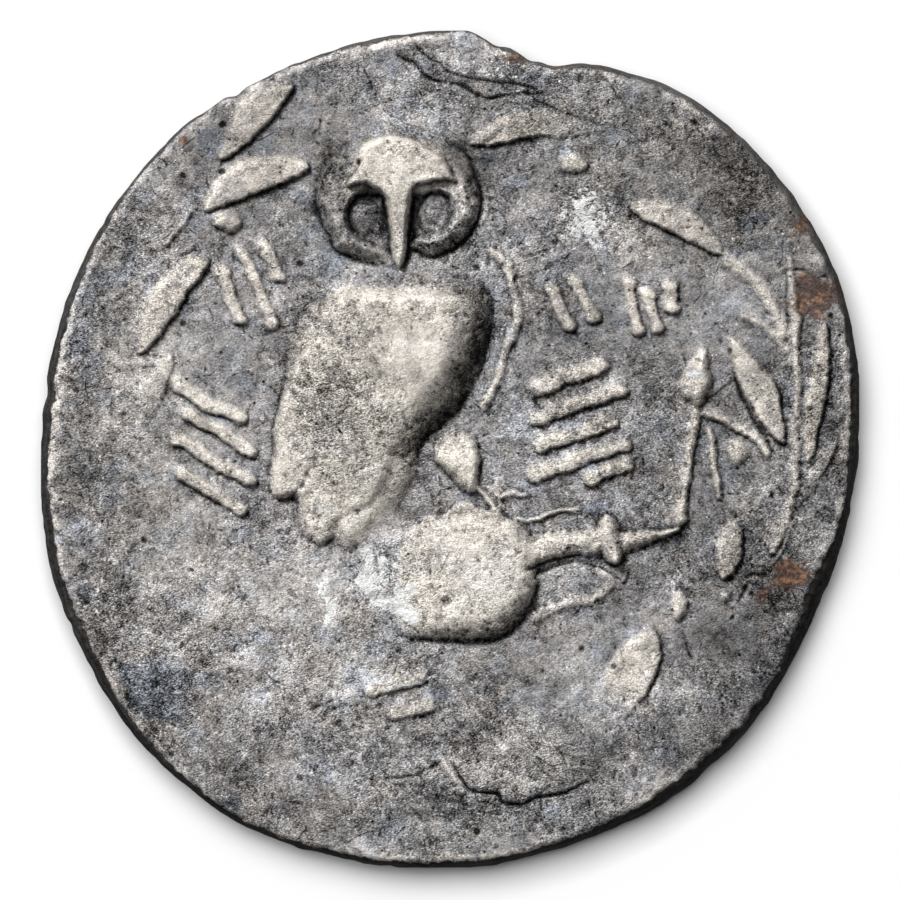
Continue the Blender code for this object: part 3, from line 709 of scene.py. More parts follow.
def carve_strokes(relief):
    for number, group in enumerate(STROKE_GROUPS):
        height = 0.15 if number == WORN_GROUP else 0.2
        for start, end in group:
            relief.ridge((start, end), STROKE_WIDTH, height, edge=0.13)
            for point in (start, end):
                relief.mound(oval(point, STROKE_END, 10), height, 0.16)


# ---------------------------------------------------------------- damage

# Line, width and depth
CRACKS = (
    (((-2.18, 15.48), (-1.35, 15.05), (-0.76, 14.54), (0.53, 14.23), (1.47, 13.84),
      (2.37, 13.88), (3.67, 13.92)), 0.16, 0.16),
    (((-1.35, 15.72), (-0.45, 15.13), (0.53, 14.58), (2.37, 14.31), (3.43, 14.07)), 0.12, 0.12),
    (((11.58, -5.02), (12.0, -4.92), (12.41, -4.94)), 0.16, 0.14),
    (((11.39, -5.92), (11.5, -5.6), (11.76, -5.25)), 0.16, 0.14),
    (((-3.7, 13.09), (-2.2, 13.6), (-0.76, 13.99)), 0.08, 0.05),
    (((5.3, 15.0), (6.3, 14.3), (6.9, 13.3)), 0.12, 0.08),
    (((-2.55, -12.95), (-1.3, -12.68), (-0.37, -12.28)), 0.11, 0.12),
    (((0.06, -12.31), (0.65, -13.25), (1.24, -13.56), (1.87, -13.64), (2.04, -13.88),
      (2.66, -13.96), (3.33, -13.76), (3.61, -13.68), (4.35, -13.56), (5.02, -13.33),
      (5.49, -13.09)), 0.13, 0.16),
    (((3.61, -13.67), (3.65, -14.26)), 0.1, 0.14),
    (((6.42, -12.53), (6.36, -12.97)), 0.09, 0.1),
    (((5.46, -13.87), (5.51, -14.15)), 0.09, 0.1),
    (((-3.65, -10.1), (-4.6, -9.85), (-5.5, -10.2)), 0.1, 0.08),
    (((9.1, -7.2), (9.3, -7.7), (9.5, -8.2)), 0.12, 0.08),
    (((11.18, 2.8), (11.67, 1.61), (12.29, 0.5), (12.72, -0.14)), 0.15, 0.12),
    (((5.08, -4.43), (6.06, -4.72), (6.92, -5.33), (7.11, -4.63)), 0.12, 0.09),
    (((13.3, 6.9), (13.24, 5.6), (13.2, 4.4)), 0.12, 0.08),
    (((13.05, 6.85), (13.6, 7.05), (14.2, 6.75)), 0.12, 0.09),
    (((2.6, 14.1), (4.0, 13.4), (5.2, 12.95), (6.2, 12.7)), 0.12, 0.07),
)

# A flake that has sunk beside the nick at the top
SUNK_PLATE = (
    (-1.8, 15.45), (-0.3, 14.75), (1.5, 14.45), (3.6, 14.2), (3.3, 13.95), (1.4, 13.95),
    (-0.7, 14.6),
)

# Low worn remains in the lower left field: place and size
HUMPS = (((-9.1, -6.1), (1.3, 2.0)), ((-4.7, -6.3), (1.8, 2.4)), ((-7.8, -8.4), (1.9, 1.4)))
HUMP_HEIGHT = 0.13


def carve_humps(relief):
    for place, size in HUMPS:
        relief.mound(oval(place, size, 12), HUMP_HEIGHT, 0.6)


def carve_damage(relief):
    area, distance = within(SUNK_PLATE)
    relief.height[area] -= 0.12 * smooth_step(0.0, 0.18, distance)
    relief.cuts(CRACKS)


# Single deep pits: place, radius and depth
PITS = (
    (-2.42, 12.03, 0.13, 0.14), (-0.16, -6.01, 0.2, 0.12), (-0.39, -6.67, 0.22, 0.09),
    (5.2, -7.84, 0.1, 0.1), (-10.9, -12.0, 0.12, 0.1),
)
PIT_REACH = 16.5            # how far from the middle the small pits are strewn


def scatter_pits(height, marks, count, seed, sizes, depths):
    """Small round pits with radii and depths between two limits; small ones are the most."""
    generator = np.random.default_rng(seed)
    for _ in range(count):
        x, y = generator.uniform(-PIT_REACH, PIT_REACH, 2)
        large, deep, long, _ = generator.random(4)
        radius = sizes[0] + (sizes[1] - sizes[0]) * large ** 3
        depth = depths[0] + (depths[1] - depths[0]) * deep
        stretch = 0.7 + 0.6 * long
        column = int(round((x - AXIS[0]) / STEP))
        row = int(round((y - AXIS[0]) / STEP))
        reach = int(3.0 * radius / STEP) + 1
        if min(row, column) < reach or max(row, column) > COUNT - reach - 1:
            continue
        area = slice(row - reach, row + reach + 1), slice(column - reach, column + reach + 1)
        away = np.hypot((PLAN_X[area] - x) * stretch, (PLAN_Y[area] - y) / stretch) / radius
        bowl = np.exp(-away ** 3)
        height[area] -= depth * bowl
        marks[area] = np.maximum(marks[area], bowl)


# ---------------------------------------------------------------- tone masks of the owl side

def blob(places):
    """A soft mask from rows of centre, size (two numbers each) and strength."""
    total = np.zeros(PLAN_X.shape)
    for x, y, wide, high, strength in places:
        away = ((PLAN_X - x) / (0.5 * wide)) ** 2 + ((PLAN_Y - y) / (0.5 * high)) ** 2
        total = np.maximum(total, strength * np.exp(-away))
    return total


def patches(outlines):
    """A crisp mask of the insides of some outlines."""
    total = np.zeros(PLAN_X.shape)
    ragged = 0.1 * noise(0.6, 91, finer=3)
    for outline in outlines:
        area, distance = within(outline)
        total[area] = np.maximum(total[area], smooth_step(-0.05, 0.05, distance + ragged[area]))
    return total


def shape_depth(outline):
    """How far inside an outline each point lies; far from it, 9 mm outside."""
    total = np.full(PLAN_X.shape, -9.0)
    area, distance = within(outline)
    total[area] = distance
    return total


def drawn(lines):
    """A mask of rows of line, width and strength."""
    total = np.zeros(PLAN_X.shape)
    for points, width, strength in lines:
        area, distance, _ = beside(points)
        mask = strength * np.exp(-(distance / (0.5 * width)) ** 2)
        total[area] = np.maximum(total[area], mask)
    return total


BROWN_PATCHES = (
    ((9.66, 13.2), (11.0, 12.97), (12.17, 12.11), (13.35, 10.54), (14.2, 9.17), (14.4, 8.0),
     (13.35, 8.2), (12.37, 9.17), (11.86, 8.2), (11.19, 8.0), (10.8, 9.17), (9.82, 9.56),
     (9.66, 11.13)),
    ((12.1, -4.6), (13.0, -4.5), (13.8, -5.0), (13.3, -6.2), (12.4, -7.2), (11.6, -6.6),
     (11.8, -5.4)),
    ((13.1, 9.4), (14.1, 9.2), (14.5, 8.2), (14.3, 7.2), (13.6, 7.2), (13.0, 8.4)),
)
SLATE_PATCHES = (
    ((-12.92, -8.58), (-11.74, -8.27), (-10.17, -8.74), (-9.98, -9.84), (-10.76, -10.7),
     (-12.13, -10.43), (-12.84, -9.64)),
    ((-9.9, 12.3), (-9.2, 13.0), (-8.6, 12.9), (-9.3, 11.6), (-10.1, 10.9)),
)
# Lines of white crust: line, width and strength
CHALK_LINES = (
    (((-3.47, -5.2), (-2.8, -5.84), (-1.94, -6.2), (-1.47, -6.6)), 0.4, 2.4),
    (((-5.1, -5.4), (-4.7, -6.2), (-4.9, -7.0)), 0.5, 0.8),
    (((-3.35, -4.0), (-3.2, -4.5), (-3.05, -5.1)), 0.6, 0.9),
    (((-13.85, 0.3), (-13.7, -1.2), (-13.8, -3.2)), 0.16, 0.62),
    (((-13.65, -5.0), (-13.8, -5.8), (-13.7, -6.6)), 0.18, 0.66),
    (((-13.4, 2.6), (-13.3, 1.6)), 0.14, 0.55),
    (((-3.3, -8.6), (-2.6, -9.2), (-1.6, -9.2), (-0.6, -9.0)), 0.26, 0.75),
    (((-0.1, 14.9), (1.2, 14.75), (2.6, 14.6)), 0.2, 0.6),
)
# Sets of fine bright rub marks: line of the first, step to the next, how many
RUB_SETS = (
    (((2.7, -10.9), (4.7, -9.7)), (0.2, 0.16), 5),
    (((-11.6, 3.0), (-11.2, 4.4)), (0.22, 0.02), 4),
    (((-7.2, -8.6), (-6.2, -7.5)), (0.18, -0.1), 4),
    (((6.8, -10.4), (8.6, -10.0)), (0.05, 0.22), 4),
    (((-10.6, -5.0), (-9.2, -5.6)), (0.1, 0.24), 4),
)
RUB_WIDTH = 0.09
RUBS = [
    (tuple((x + number * step[0], y + number * step[1]) for x, y in line), RUB_WIDTH, 0.9)
    for line, step, count in RUB_SETS for number in range(count)
]
# Soft places: centre, size and strength. The first four and CREAMY and PALE are tints, SOFT_EDGES
# lack the painted shade of their lee side, GOUGED are spotted with dark hollows, and the skin of
# ROUGHER and SMOOTHER is rougher or smoother than elsewhere
RUST = (
    (14.3, 6.0, 2.0, 1.9, 1.1), (13.8, 6.6, 0.9, 0.9, 0.8), (13.8, 8.8, 1.0, 1.4, 0.6),
    (13.4, -4.9, 1.9, 1.5, 0.8), (12.2, -5.6, 1.2, 1.6, 0.5), (-10.4, 12.1, 0.5, 0.5, 0.9),
    (2.6, 15.3, 1.6, 0.6, 0.8), (4.2, 15.0, 1.2, 0.5, 0.6), (11.0, 12.0, 1.4, 1.8, 0.4),
)
CHALK = (
    (5.4, 9.0, 2.4, 2.7, 0.8), (-2.9, -4.8, 2.2, 2.4, 0.75), (-1.7, -5.6, 1.6, 0.9, 0.9),
    (-6.4, -8.3, 0.9, 0.9, 0.6), (-7.8, -6.1, 0.8, 0.8, 0.6), (-4.2, 0.0, 2.0, 1.6, 0.45),
    (-3.0, -0.9, 1.4, 1.2, 0.5), (8.0, -8.5, 1.6, 2.6, 0.25), (2.0, 15.0, 2.0, 0.7, 0.5),
    (-5.4, -5.0, 2.5, 2.5, 0.25), (1.2, 14.9, 3.2, 1.0, 0.4),
)
SLATE = (
    (-11.6, -9.6, 2.8, 2.4, 0.8), (3.0, 1.8, 2.6, 4.0, 0.35), (8.5, -1.0, 4.0, 5.0, 0.4),
    (-8.0, 3.3, 2.0, 2.0, 0.4), (5.5, -9.5, 4.0, 4.0, 0.35), (5.2, -3.2, 2.6, 2.2, 0.9),
    (3.2, -2.6, 2.4, 1.6, 0.5), (-2.2, 6.8, 5.0, 1.2, 0.6), (-2.0, 9.0, 4.4, 2.4, 0.5),
    (2.2, 6.0, 3.4, 3.4, 0.6), (12.6, 2.6, 3.0, 4.0, 0.4),
)
WARM = (
    (-4.5, 10.9, 1.6, 3.0, 1.0), (0.8, 11.0, 1.4, 2.0, 0.8), (-13.0, 0.0, 6.0, 16.0, 0.7),
    (-10.0, -8.0, 9.0, 8.0, 0.6), (-2.0, -9.0, 10.0, 8.0, 0.3), (-10.0, 10.5, 6.0, 6.0, 0.5),
    (8.0, 11.5, 6.0, 5.0, 0.5), (12.5, 9.0, 3.5, 5.0, 0.6),
)
# Places made darker; those on the owl's right slope, as at (1.2, 4.8), are painted shade
DARKER = (
    (14.4, 0.0, 3.4, 13.0, 0.09), (9.0, 13.0, 3.4, 2.4, 0.1), (11.3, 11.0, 3.6, 4.6, 0.2),
    (10.4, 8.0, 2.6, 3.6, 0.1), (10.8, -8.6, 3.6, 5.0, 0.15), (13.2, -5.6, 2.0, 2.6, 0.14),
    (12.4, 2.4, 2.2, 3.0, 0.08), (4.6, -11.9, 5.5, 3.6, 0.08),
    (-12.2, -9.8, 3.4, 3.0, 0.12), (-14.1, -6.3, 4.0, 5.0, 0.09), (-8.5, -12.3, 4.0, 3.2, 0.15),
    (-8.4, 15.0, 4.0, 1.8, 0.09), (1.4, 14.2, 4.4, 2.2, 0.09), (2.4, -14.4, 4.6, 1.6, 0.11),
    (-3.45, 9.1, 1.9, 2.3, 0.26), (-0.5, 9.2, 1.9, 2.3, 0.16), (-4.6, 2.4, 3.6, 6.4, 0.24),
    (-4.5, 10.9, 1.5, 2.8, 0.3), (0.9, 10.8, 1.2, 3.0, 0.17), (-4.3, 2.9, 4.2, 5.0, 0.12),
    (0.6, 2.6, 1.2, 2.6, 0.1), (-4.9, 5.0, 0.9, 1.6, 0.14), (-9.6, 0.6, 2.0, 3.6, 0.06),
    (1.2, 4.8, 2.8, 2.6, 0.13), (5.0, 3.6, 2.6, 4.0, 0.16), (10.4, -11.2, 4.6, 3.6, 0.22),
    (12.8, -8.6, 2.6, 3.0, 0.26), (12.8, 2.9, 2.4, 2.6, 0.19), (4.9, 10.7, 3.0, 2.2, 0.09),
    (3.0, -6.9, 2.6, 2.0, 0.12), (1.0, -10.6, 3.6, 2.4, 0.12), (-6.8, 14.5, 3.0, 2.0, 0.11),
    (14.6, 1.0, 2.2, 4.4, 0.15), (10.8, -4.4, 2.6, 3.4, 0.19), (-8.0, 12.4, 3.0, 2.6, 0.08),
    (12.7, 8.2, 2.6, 3.6, 0.14), (1.0, -2.9, 2.0, 1.4, 0.1), (7.6, 3.4, 2.4, 2.0, 0.1),
    (6.6, 13.6, 3.0, 2.0, 0.09), (-2.7, 2.9, 2.2, 2.6, 0.19), (8.8, 10.7, 2.4, 2.0, 0.12),
    (3.0, 12.7, 2.6, 1.8, 0.12), (14.7, -0.6, 2.0, 3.0, 0.15),
)
LIGHTER = (
    (-6.2, -5.6, 9.0, 8.5, 0.2), (-2.9, -2.9, 2.8, 2.0, 0.31), (-3.0, -8.7, 3.6, 3.2, 0.19),
    (-8.4, -4.6, 3.4, 2.8, 0.24), (3.0, -10.6, 5.0, 3.4, 0.1), (5.4, -9.4, 5.0, 4.6, 0.12),
    (8.2, -13.0, 2.6, 1.0, 0.2), (5.2, -4.5, 4.0, 2.0, 0.08), (2.2, -0.6, 4.6, 2.4, 0.12),
    (-9.4, 6.6, 6.0, 7.0, 0.07), (-12.4, 2.8, 3.0, 3.4, 0.13), (-3.4, -12.6, 3.4, 2.6, 0.12),
    (5.5, 8.8, 3.8, 3.0, 0.14), (9.2, 5.0, 4.0, 5.0, 0.06), (8.6, 1.2, 2.0, 2.4, 0.08),
    (-1.8, 12.9, 5.0, 1.5, 0.12), (-2.2, 6.0, 4.6, 0.5, 0.1), (0.4, -4.6, 4.2, 4.4, 0.06),
    (-6.4, -9.0, 4.4, 2.6, 0.23), (-9.2, -4.9, 3.6, 2.8, 0.26), (6.9, -6.9, 2.6, 2.0, 0.13),
    (-2.9, -12.8, 3.0, 2.2, 0.22), (10.8, 10.7, 2.2, 2.0, 0.12), (-12.8, -3.0, 3.0, 3.4, 0.1),
    (-12.8, 0.9, 2.6, 3.0, 0.11), (3.0, 0.9, 2.2, 2.0, 0.11), (-3.4, -8.9, 3.6, 2.4, 0.28),
    (-4.8, 6.8, 2.2, 1.8, 0.11), (7.0, 10.7, 2.4, 2.0, 0.1), (4.9, -11.0, 2.4, 2.0, 0.12),
    (-9.1, -6.1, 1.5, 1.9, 0.33), (-4.7, -6.3, 2.0, 2.5, 0.31),
    (-7.8, -8.4, 2.0, 1.6, 0.34), (-9.8, -3.0, 4.4, 2.4, 0.12), (-12.7, -6.9, 2.4, 2.0, 0.1),
    (-6.2, -12.7, 2.6, 2.0, 0.16),
)
SOFT_EDGES = (
    (-2.9, -2.4, 4.0, 2.8, 1.0), (-2.6, 12.3, 4.0, 1.2, 0.8), (-3.4, 9.1, 1.1, 1.4, 0.35),
    (-0.5, 9.1, 1.2, 1.5, 0.35), (-6.2, 6.0, 2.2, 2.0, 0.5),
)
GOUGED = (
    (-4.4, 2.2, 2.6, 3.2, 1.0), (-3.4, -1.2, 2.0, 2.0, 0.5), (-1.0, 1.4, 1.6, 1.8, 0.6),
    (-12.5, -8.5, 4.0, 5.0, 0.5), (-13.6, -1.0, 2.4, 5.0, 0.5), (0.0, -13.5, 9.0, 3.0, 0.4),
    (11.5, -8.0, 3.0, 4.0, 0.4), (5.6, 8.9, 2.6, 2.6, 0.4),
)
ROUGHER = (
    (-4.4, 1.6, 4.0, 5.0, 0.4), (-13.5, -1.0, 5.0, 14.0, 0.45), (-9.0, -8.5, 10.0, 7.0, 0.4),
    (0.0, -13.0, 14.0, 5.0, 0.25), (5.6, 8.9, 3.0, 2.8, 0.4), (1.5, 14.8, 6.0, 1.8, 0.3),
    (-2.6, -4.9, 2.6, 2.6, 0.4), (11.5, 10.0, 4.0, 5.0, 0.2), (1.0, -5.4, 3.0, 3.0, 0.2),
)
SMOOTHER = (
    (-1.2, 4.2, 3.0, 4.0, 0.35), (4.5, 3.6, 4.0, 4.0, 0.12), (-8.0, 9.0, 3.0, 3.0, 0.12),
    (-1.8, 6.6, 5.0, 1.2, 0.3), (8.0, -3.0, 4.0, 4.0, 0.1), (-4.0, 12.8, 6.0, 2.0, 0.1),
)
CREAMY = (
    (-1.9, 11.2, 3.2, 1.8, 0.35), (-12.0, 0.0, 6.0, 9.0, 0.25), (5.6, 8.9, 3.0, 2.8, 0.35),
    (-5.5, -6.0, 5.0, 5.0, 0.25), (10.5, 11.5, 5.0, 4.0, 0.3), (-1.5, 13.2, 8.0, 2.0, 0.2),
)
PALE = (
    (0.9, -5.0, 4.5, 4.5, 0.55), (-4.6, 1.0, 3.6, 5.0, 0.4), (-2.2, 6.75, 5.6, 1.1, 0.9),
    (-3.4, 9.1, 1.6, 2.0, 0.9), (-0.5, 9.1, 1.8, 2.2, 0.9),
)
LIGHT_WAY = (-0.53, 0.85)   # the way the key light comes from; hollows and slopes turned from it get painted shade
FIELD_LEVEL = 0.608         # brightness of the bare field, as a share of white
TOP_LIMIT = 3.425           # the highest that any point of the surface reaches

# Size of the lumps whose outlines the steps follow, width of the step's edge, and its height
FLAKE_LAYERS = ((2.6, 0.1, 0.02), (1.3, 0.12, 0.014), (0.7, 0.16, 0.01), (0.45, 0.2, 0.007))


def flakes(seed):
    """Low ragged steps, where the toned skin has lifted off in layers."""
    total = np.zeros(PLAN_X.shape)
    for number, (size, edge, rise) in enumerate(FLAKE_LAYERS):
        lumps = noise(size, seed + number, finer=3)
        total += rise * (smooth_step(-edge, edge, lumps - 0.25) - 0.4)
    return total


def motifs():
    """Heights of the motifs above the field, the same before damage, and where the owl's own are."""
    relief = Relief()
    carve_emblem(relief)
    carve_wreath(relief)
    carve_strokes(relief)
    relief.lean()
    low = relief.height.copy()
    carve_amphora(relief)
    carve_owl(relief)
    carve_head(relief)
    own = smooth_step(0.05, 0.4, blur((relief.height > low + 0.01).astype(float), 0.22))
    shape = blur(relief.height, 0.022)
    carve_humps(relief)
    carve_damage(relief)
    relief.scratches(170, 87, (0.0, 0.0), (30.0, 30.0), (0.4, 1.8), 0.035, 20)
    return relief.height, shape, own


def surface_grain():
    """The noises that the owl side's wear and its toning share."""
    grain = SimpleNamespace(
        broad=noise(3.0, 21), coarse=noise(1.4, 22), middle=noise(0.62, 23), small=noise(0.3, 24),
        tiny=noise(0.16, 25), cast=noise(0.9, 71, finer=3))
    rough = 0.8 + 0.3 * np.tanh(noise(4.0, 26, finer=1)) + blob(ROUGHER) - blob(SMOOTHER)
    grain.rough = rough
    grain.steps = rough * flakes(61)
    grain.chips = rough * smooth_step(0.85, 1.15, noise(0.34, 94, finer=2))
    grain.crumbs = rough * smooth_step(0.95, 1.2, noise(0.26, 95, finer=2))
    grain.patch = smooth_step(-0.12, 0.12, noise(1.7, 72, finer=5) - 0.35)
    return grain


def owl_heights(relief, grain):
    """Heights in mm above the table, and a mask of the pits."""
    lumps = 0.024 * grain.broad + 0.016 * grain.coarse
    lumps = lumps + grain.rough * (0.011 * grain.middle + 0.005 * grain.small)
    height = dished(radius_at(TOP_RADII, PLAN_X, PLAN_Y), TOP_FIELD, TOP_RIM) + blur(relief, 0.014)
    height += lumps + grain.steps
    height += 0.014 * grain.crumbs - 0.034 * grain.chips
    marks = np.zeros(height.shape)
    scatter_pits(height, marks, 1500, 31, (0.035, 0.075), (0.02, 0.06))
    for x, y, radius, depth in PITS:
        bowl = np.exp(-(np.hypot(PLAN_X - x, PLAN_Y - y) / radius) ** 3)
        height -= depth * bowl
        marks = np.maximum(marks, bowl)
    height -= 0.2 * (1.0 - rounded(inside_edge(PLAN_X, PLAN_Y, True) / 0.36))
    return np.minimum(height, TOP_LIMIT), marks


def owl_zones():
    """Masks of the owl's places toned in their own way, and of its right slope, which gets painted shade."""
    head = patches((HEAD,))
    crown = patches((BROW,))
    face = np.clip(head - crown, 0.0, 1.0)
    neck = smooth_step(6.3, 6.55, PLAN_Y) * smooth_step(7.9, 7.4, PLAN_Y) * (1.0 - head)
    neck *= smooth_step(3.6, 3.0, np.abs(PLAN_X + 2.1))
    ledge = smooth_step(0.62, 0.3, np.abs(PLAN_Y - 6.1)) * smooth_step(3.0, 2.3, np.abs(PLAN_X + 2.3))
    # belly: the owl's right slope, turned from the key light, painted darker as shade
    depth = shape_depth(BODY)
    belly = smooth_step(2.2, 0.2, depth) * smooth_step(-0.04, 0.05, depth)
    belly *= smooth_step(-2.6, -0.6, PLAN_X)
    belly *= smooth_step(-2.2, 0.4, PLAN_Y) * smooth_step(7.2, 6.0, PLAN_Y) * smooth_step(11.0, 2.6, PLAN_Y)
    cheeks = face * smooth_step(0.75, 0.15, np.abs(shape_depth(HEAD)))
    return SimpleNamespace(crown=crown, face=face, neck=neck, ledge=ledge, belly=belly, cheeks=cheeks)


def painted_lee_shade(shape, own, ledge):
    """How steep each place is, and how much darkening its hollows and steep slopes get: some dirt on all
    sides, and painted shade on the sides turned from the key light.
    """
    slope_y, slope_x = np.gradient(blur(shape, 0.05), STEP)
    steep = smooth_step(0.35, 1.1, np.hypot(slope_x, slope_y))
    # sides turned from the key light, which get painted shade
    away = smooth_step(-0.1, 0.4, slope_x * LIGHT_WAY[0] + slope_y * LIGHT_WAY[1])
    lee_shade = np.maximum(0.35 + 0.65 * away, 0.6 * own)
    return steep, lee_shade * (1.0 - blob(SOFT_EDGES)) * (1.0 - 0.95 * ledge)


def owl_side():
    """Heights in mm above the table, and the tone masks, over the plan."""
    relief, shape, own = motifs()
    grain = surface_grain()
    height, marks = owl_heights(relief, grain)
    zones = owl_zones()
    rough, patch = grain.rough, grain.patch

    # Darkness of the hollows: dirt, which the lee weighting below makes painted shade on the sides turned
    # from the key light
    hollow = blur(height, 0.055) - height
    wide_hollow = blur(height, 0.4) - blur(height, 0.05)
    dirt_and_shade = smooth_step(0.003, 0.026, hollow) + 0.3 * smooth_step(0.03, 0.2, wide_hollow)
    proud = smooth_step(0.04, 0.16, shape)
    crest = smooth_step(0.003, 0.03, -hollow) * proud
    steep, lee_shade = painted_lee_shade(shape, own, zones.ledge)
    high = 0.46 * smooth_step(0.14, 0.62, blur(shape, 0.08)) + 0.8 * proud
    high *= 1.0 - 0.62 * zones.neck - 0.36 * zones.face
    bare = by_angle(RIM_WEAR, PLAN_X, PLAN_Y)
    inward = inside_edge(PLAN_X, PLAN_Y, True)
    worn_rim = bare * np.exp(-((inward - 0.2) / 0.26) ** 2)
    worn_rim = worn_rim * smooth_step(-1.2, 0.5, grain.middle + grain.small)
    mottle = 0.026 * grain.broad + 0.022 * grain.coarse
    mottle = mottle + rough * (0.016 * grain.middle + 0.016 * grain.small + 0.012 * grain.tiny)
    mottle += 1.7 * grain.steps + 0.07 * grain.crumbs - 0.09 * grain.chips
    brown, slate_patch = patches(BROWN_PATCHES), patches(SLATE_PATCHES)
    cracks = drawn([(points, width, 5.0 * depth) for points, width, depth in CRACKS])
    gouge = blob(GOUGED) * smooth_step(0.0, 0.4, noise(0.7, 73, finer=4) + 0.15)
    # The lee term is painted shade on the hollows and steep slopes turned from the key light
    level = (
        FIELD_LEVEL + 0.24 * high + 0.1 * crest + 0.15 * worn_rim
        - lee_shade * (0.36 * np.clip(dirt_and_shade, 0.0, 1.3) + 0.16 * steep) - 0.26 * marks + mottle
        + blob(LIGHTER) - blob(DARKER) - 0.06 * brown - 0.11 * slate_patch
        + 0.065 * rough * (patch - 0.35) - (0.02 * zones.face + 0.05 * zones.cheeks)
        # the belly term is painted shade on the owl's right slope
        - 0.46 * zones.belly - 0.45 * np.clip(cracks, 0.0, 1.0) + 0.16 * rough * drawn(RUBS)
        - 0.18 * gouge
    )
    raised = smooth_step(0.04, 0.2, shape)
    cream = 0.75 * raised + 0.35 * high + blob(CREAMY) + 0.5 * worn_rim
    cream += 0.25 * zones.crown - 0.7 * zones.neck - 0.45 * zones.face
    slate = 0.7 * blob(SLATE) + 0.25 * zones.face + 0.9 * slate_patch
    masks = {
        "level": np.clip(level, 0.04, 1.0),
        "rust": blob(RUST),
        "chalk": np.maximum(blob(CHALK), drawn(CHALK_LINES)),
        "cream": np.clip(cream - blob(PALE) + 0.12 * grain.cast + 0.25 * patch, 0.0, 1.4),
        "slate": np.clip(slate + 0.42 * grain.cast - 0.6 * raised - 0.2, 0.0, 1.0),
        "warm": np.clip(blob(WARM) + 1.1 * brown - 0.42 * grain.cast - 0.05, 0.0, 1.0),
        "rough": np.clip(rough, 0.3, 1.6),
        "bare": bare,
        "flank": by_angle(FLANK_TONE, PLAN_X, PLAN_Y),
    }
    return height, masks


# ---------------------------------------------------------------- the underside

# Outlines of the worn head, as it is seen on its own side, and the middle line of its crest
HELMET = (
    (-5.6, 0.8), (-5.2, 4.6), (-2.6, 7.6), (1.2, 8.3), (4.5, 6.6), (5.9, 3.4), (5.8, 1.9),
    (3.0, 0.2), (0.6, -2.2), (-2.4, -3.4), (-5.0, -2.4),
)
FACE = (
    (4.9, 2.6), (5.5, 0.4), (6.6, -1.4), (5.8, -2.1), (5.9, -3.3), (5.2, -4.5), (4.0, -5.2),
    (1.8, -4.7), (-0.2, -3.6), (0.4, -0.6), (2.4, 1.8),
)
THROAT = (
    (-3.6, -1.6), (-4.4, -5.2), (-6.2, -8.6), (-2.4, -9.8), (2.0, -9.2), (2.6, -7.4), (2.2, -5.0),
    (1.4, -3.4),
)
CREST = ((5.0, 8.6), (1.2, 10.4), (-3.4, 9.6), (-7.2, 6.0), (-8.8, 0.6), (-8.9, -4.0))
# Lines cut into the worn head: points, width and depth
FACE_LINES = (
    (((-4.6, -1.0), (-1.0, 0.6), (2.6, 2.6), (5.6, 3.2)), 0.4, 0.3),        # the visor's edges
    (((-4.5, -0.3), (-1.0, 1.3), (2.4, 3.3), (5.4, 3.9)), 0.2, 0.2),
    (((2.9, -0.05), (3.6, 0.42), (4.4, 0.38), (4.95, 0.0)), 0.24, 0.28),    # the upper lid
    (((2.9, -0.05), (3.7, -0.32), (4.5, -0.25), (4.95, 0.0)), 0.2, 0.24),   # the lower lid
    (((2.7, 1.0), (3.8, 1.38), (5.0, 1.0)), 0.24, 0.2),                     # the brow
    (((5.25, -1.75), (5.5, -1.98), (5.8, -1.9)), 0.2, 0.24),                # the nostril
    (((4.2, -3.02), (4.9, -2.86), (5.6, -2.8)), 0.24, 0.28),                # the mouth
    (((0.3, 1.4), (1.15, -0.5), (1.45, -2.6), (0.5, -4.0)), 0.3, 0.26),     # the cheek piece
    (((0.3, -3.9), (1.8, -4.7), (3.8, -5.1)), 0.28, 0.22),                  # the jaw
)
HEAD_RISE = 0.05            # how far the head would reach below the table if it weren't worn flat
CREST_HAIRS = 25
HAIR_LOCKS = 5
BORDER_RADIUS = 14.3
BORDER_DOTS = 38
DOT_SIZE = (1.05, 1.05)
BORDER_FROM = 140           # degrees; the rest of the border was struck off the flan
BORDER_TO = 430


def mirrored(points):
    """Points of the underside in the coin's own plan, which is seen from above."""
    return [(-x, y) for x, y in points]


def under_relief():
    """How far the worn head, its crest and the border stand out below the underside's field."""
    relief = Relief()
    for outline in (THROAT, HELMET, FACE):
        relief.mound(mirrored(outline), UNDER_FIELD + HEAD_RISE, 1.1, blend=0.15)
    relief.ridge(mirrored(CREST), tapered(1.5, 0.9), 0.38)
    curve = np.array(smooth(mirrored(CREST), 8, False))
    for hair in range(1, CREST_HAIRS + 1):
        first = int(hair / (CREST_HAIRS + 1) * (len(curve) - 1))
        place = curve[first]
        along = curve[min(first + 1, len(curve) - 1)] - place
        across = np.array((-along[1], along[0])) / (np.hypot(*along) + 1e-9)
        relief.cut((tuple(place - 0.6 * across), tuple(place + 0.6 * across)), 0.12, 0.05)
    for points, width, depth in FACE_LINES:
        relief.cut(mirrored(points), width, depth)
    for lock in range(HAIR_LOCKS):
        x = -3.9 + 1.15 * lock
        relief.cut(mirrored(((x, -2.2 - 0.2 * lock), (x - 0.6, -4.6), (x - 1.2, -6.6))), 0.34, 0.24)
    for dot in range(BORDER_DOTS):
        turn = math.radians(BORDER_FROM + (BORDER_TO - BORDER_FROM) * dot / (BORDER_DOTS - 1))
        centre = (-BORDER_RADIUS * math.cos(turn), BORDER_RADIUS * math.sin(turn))
        relief.mound(oval(centre, DOT_SIZE, 10), 0.42, 0.4)
    return relief.height


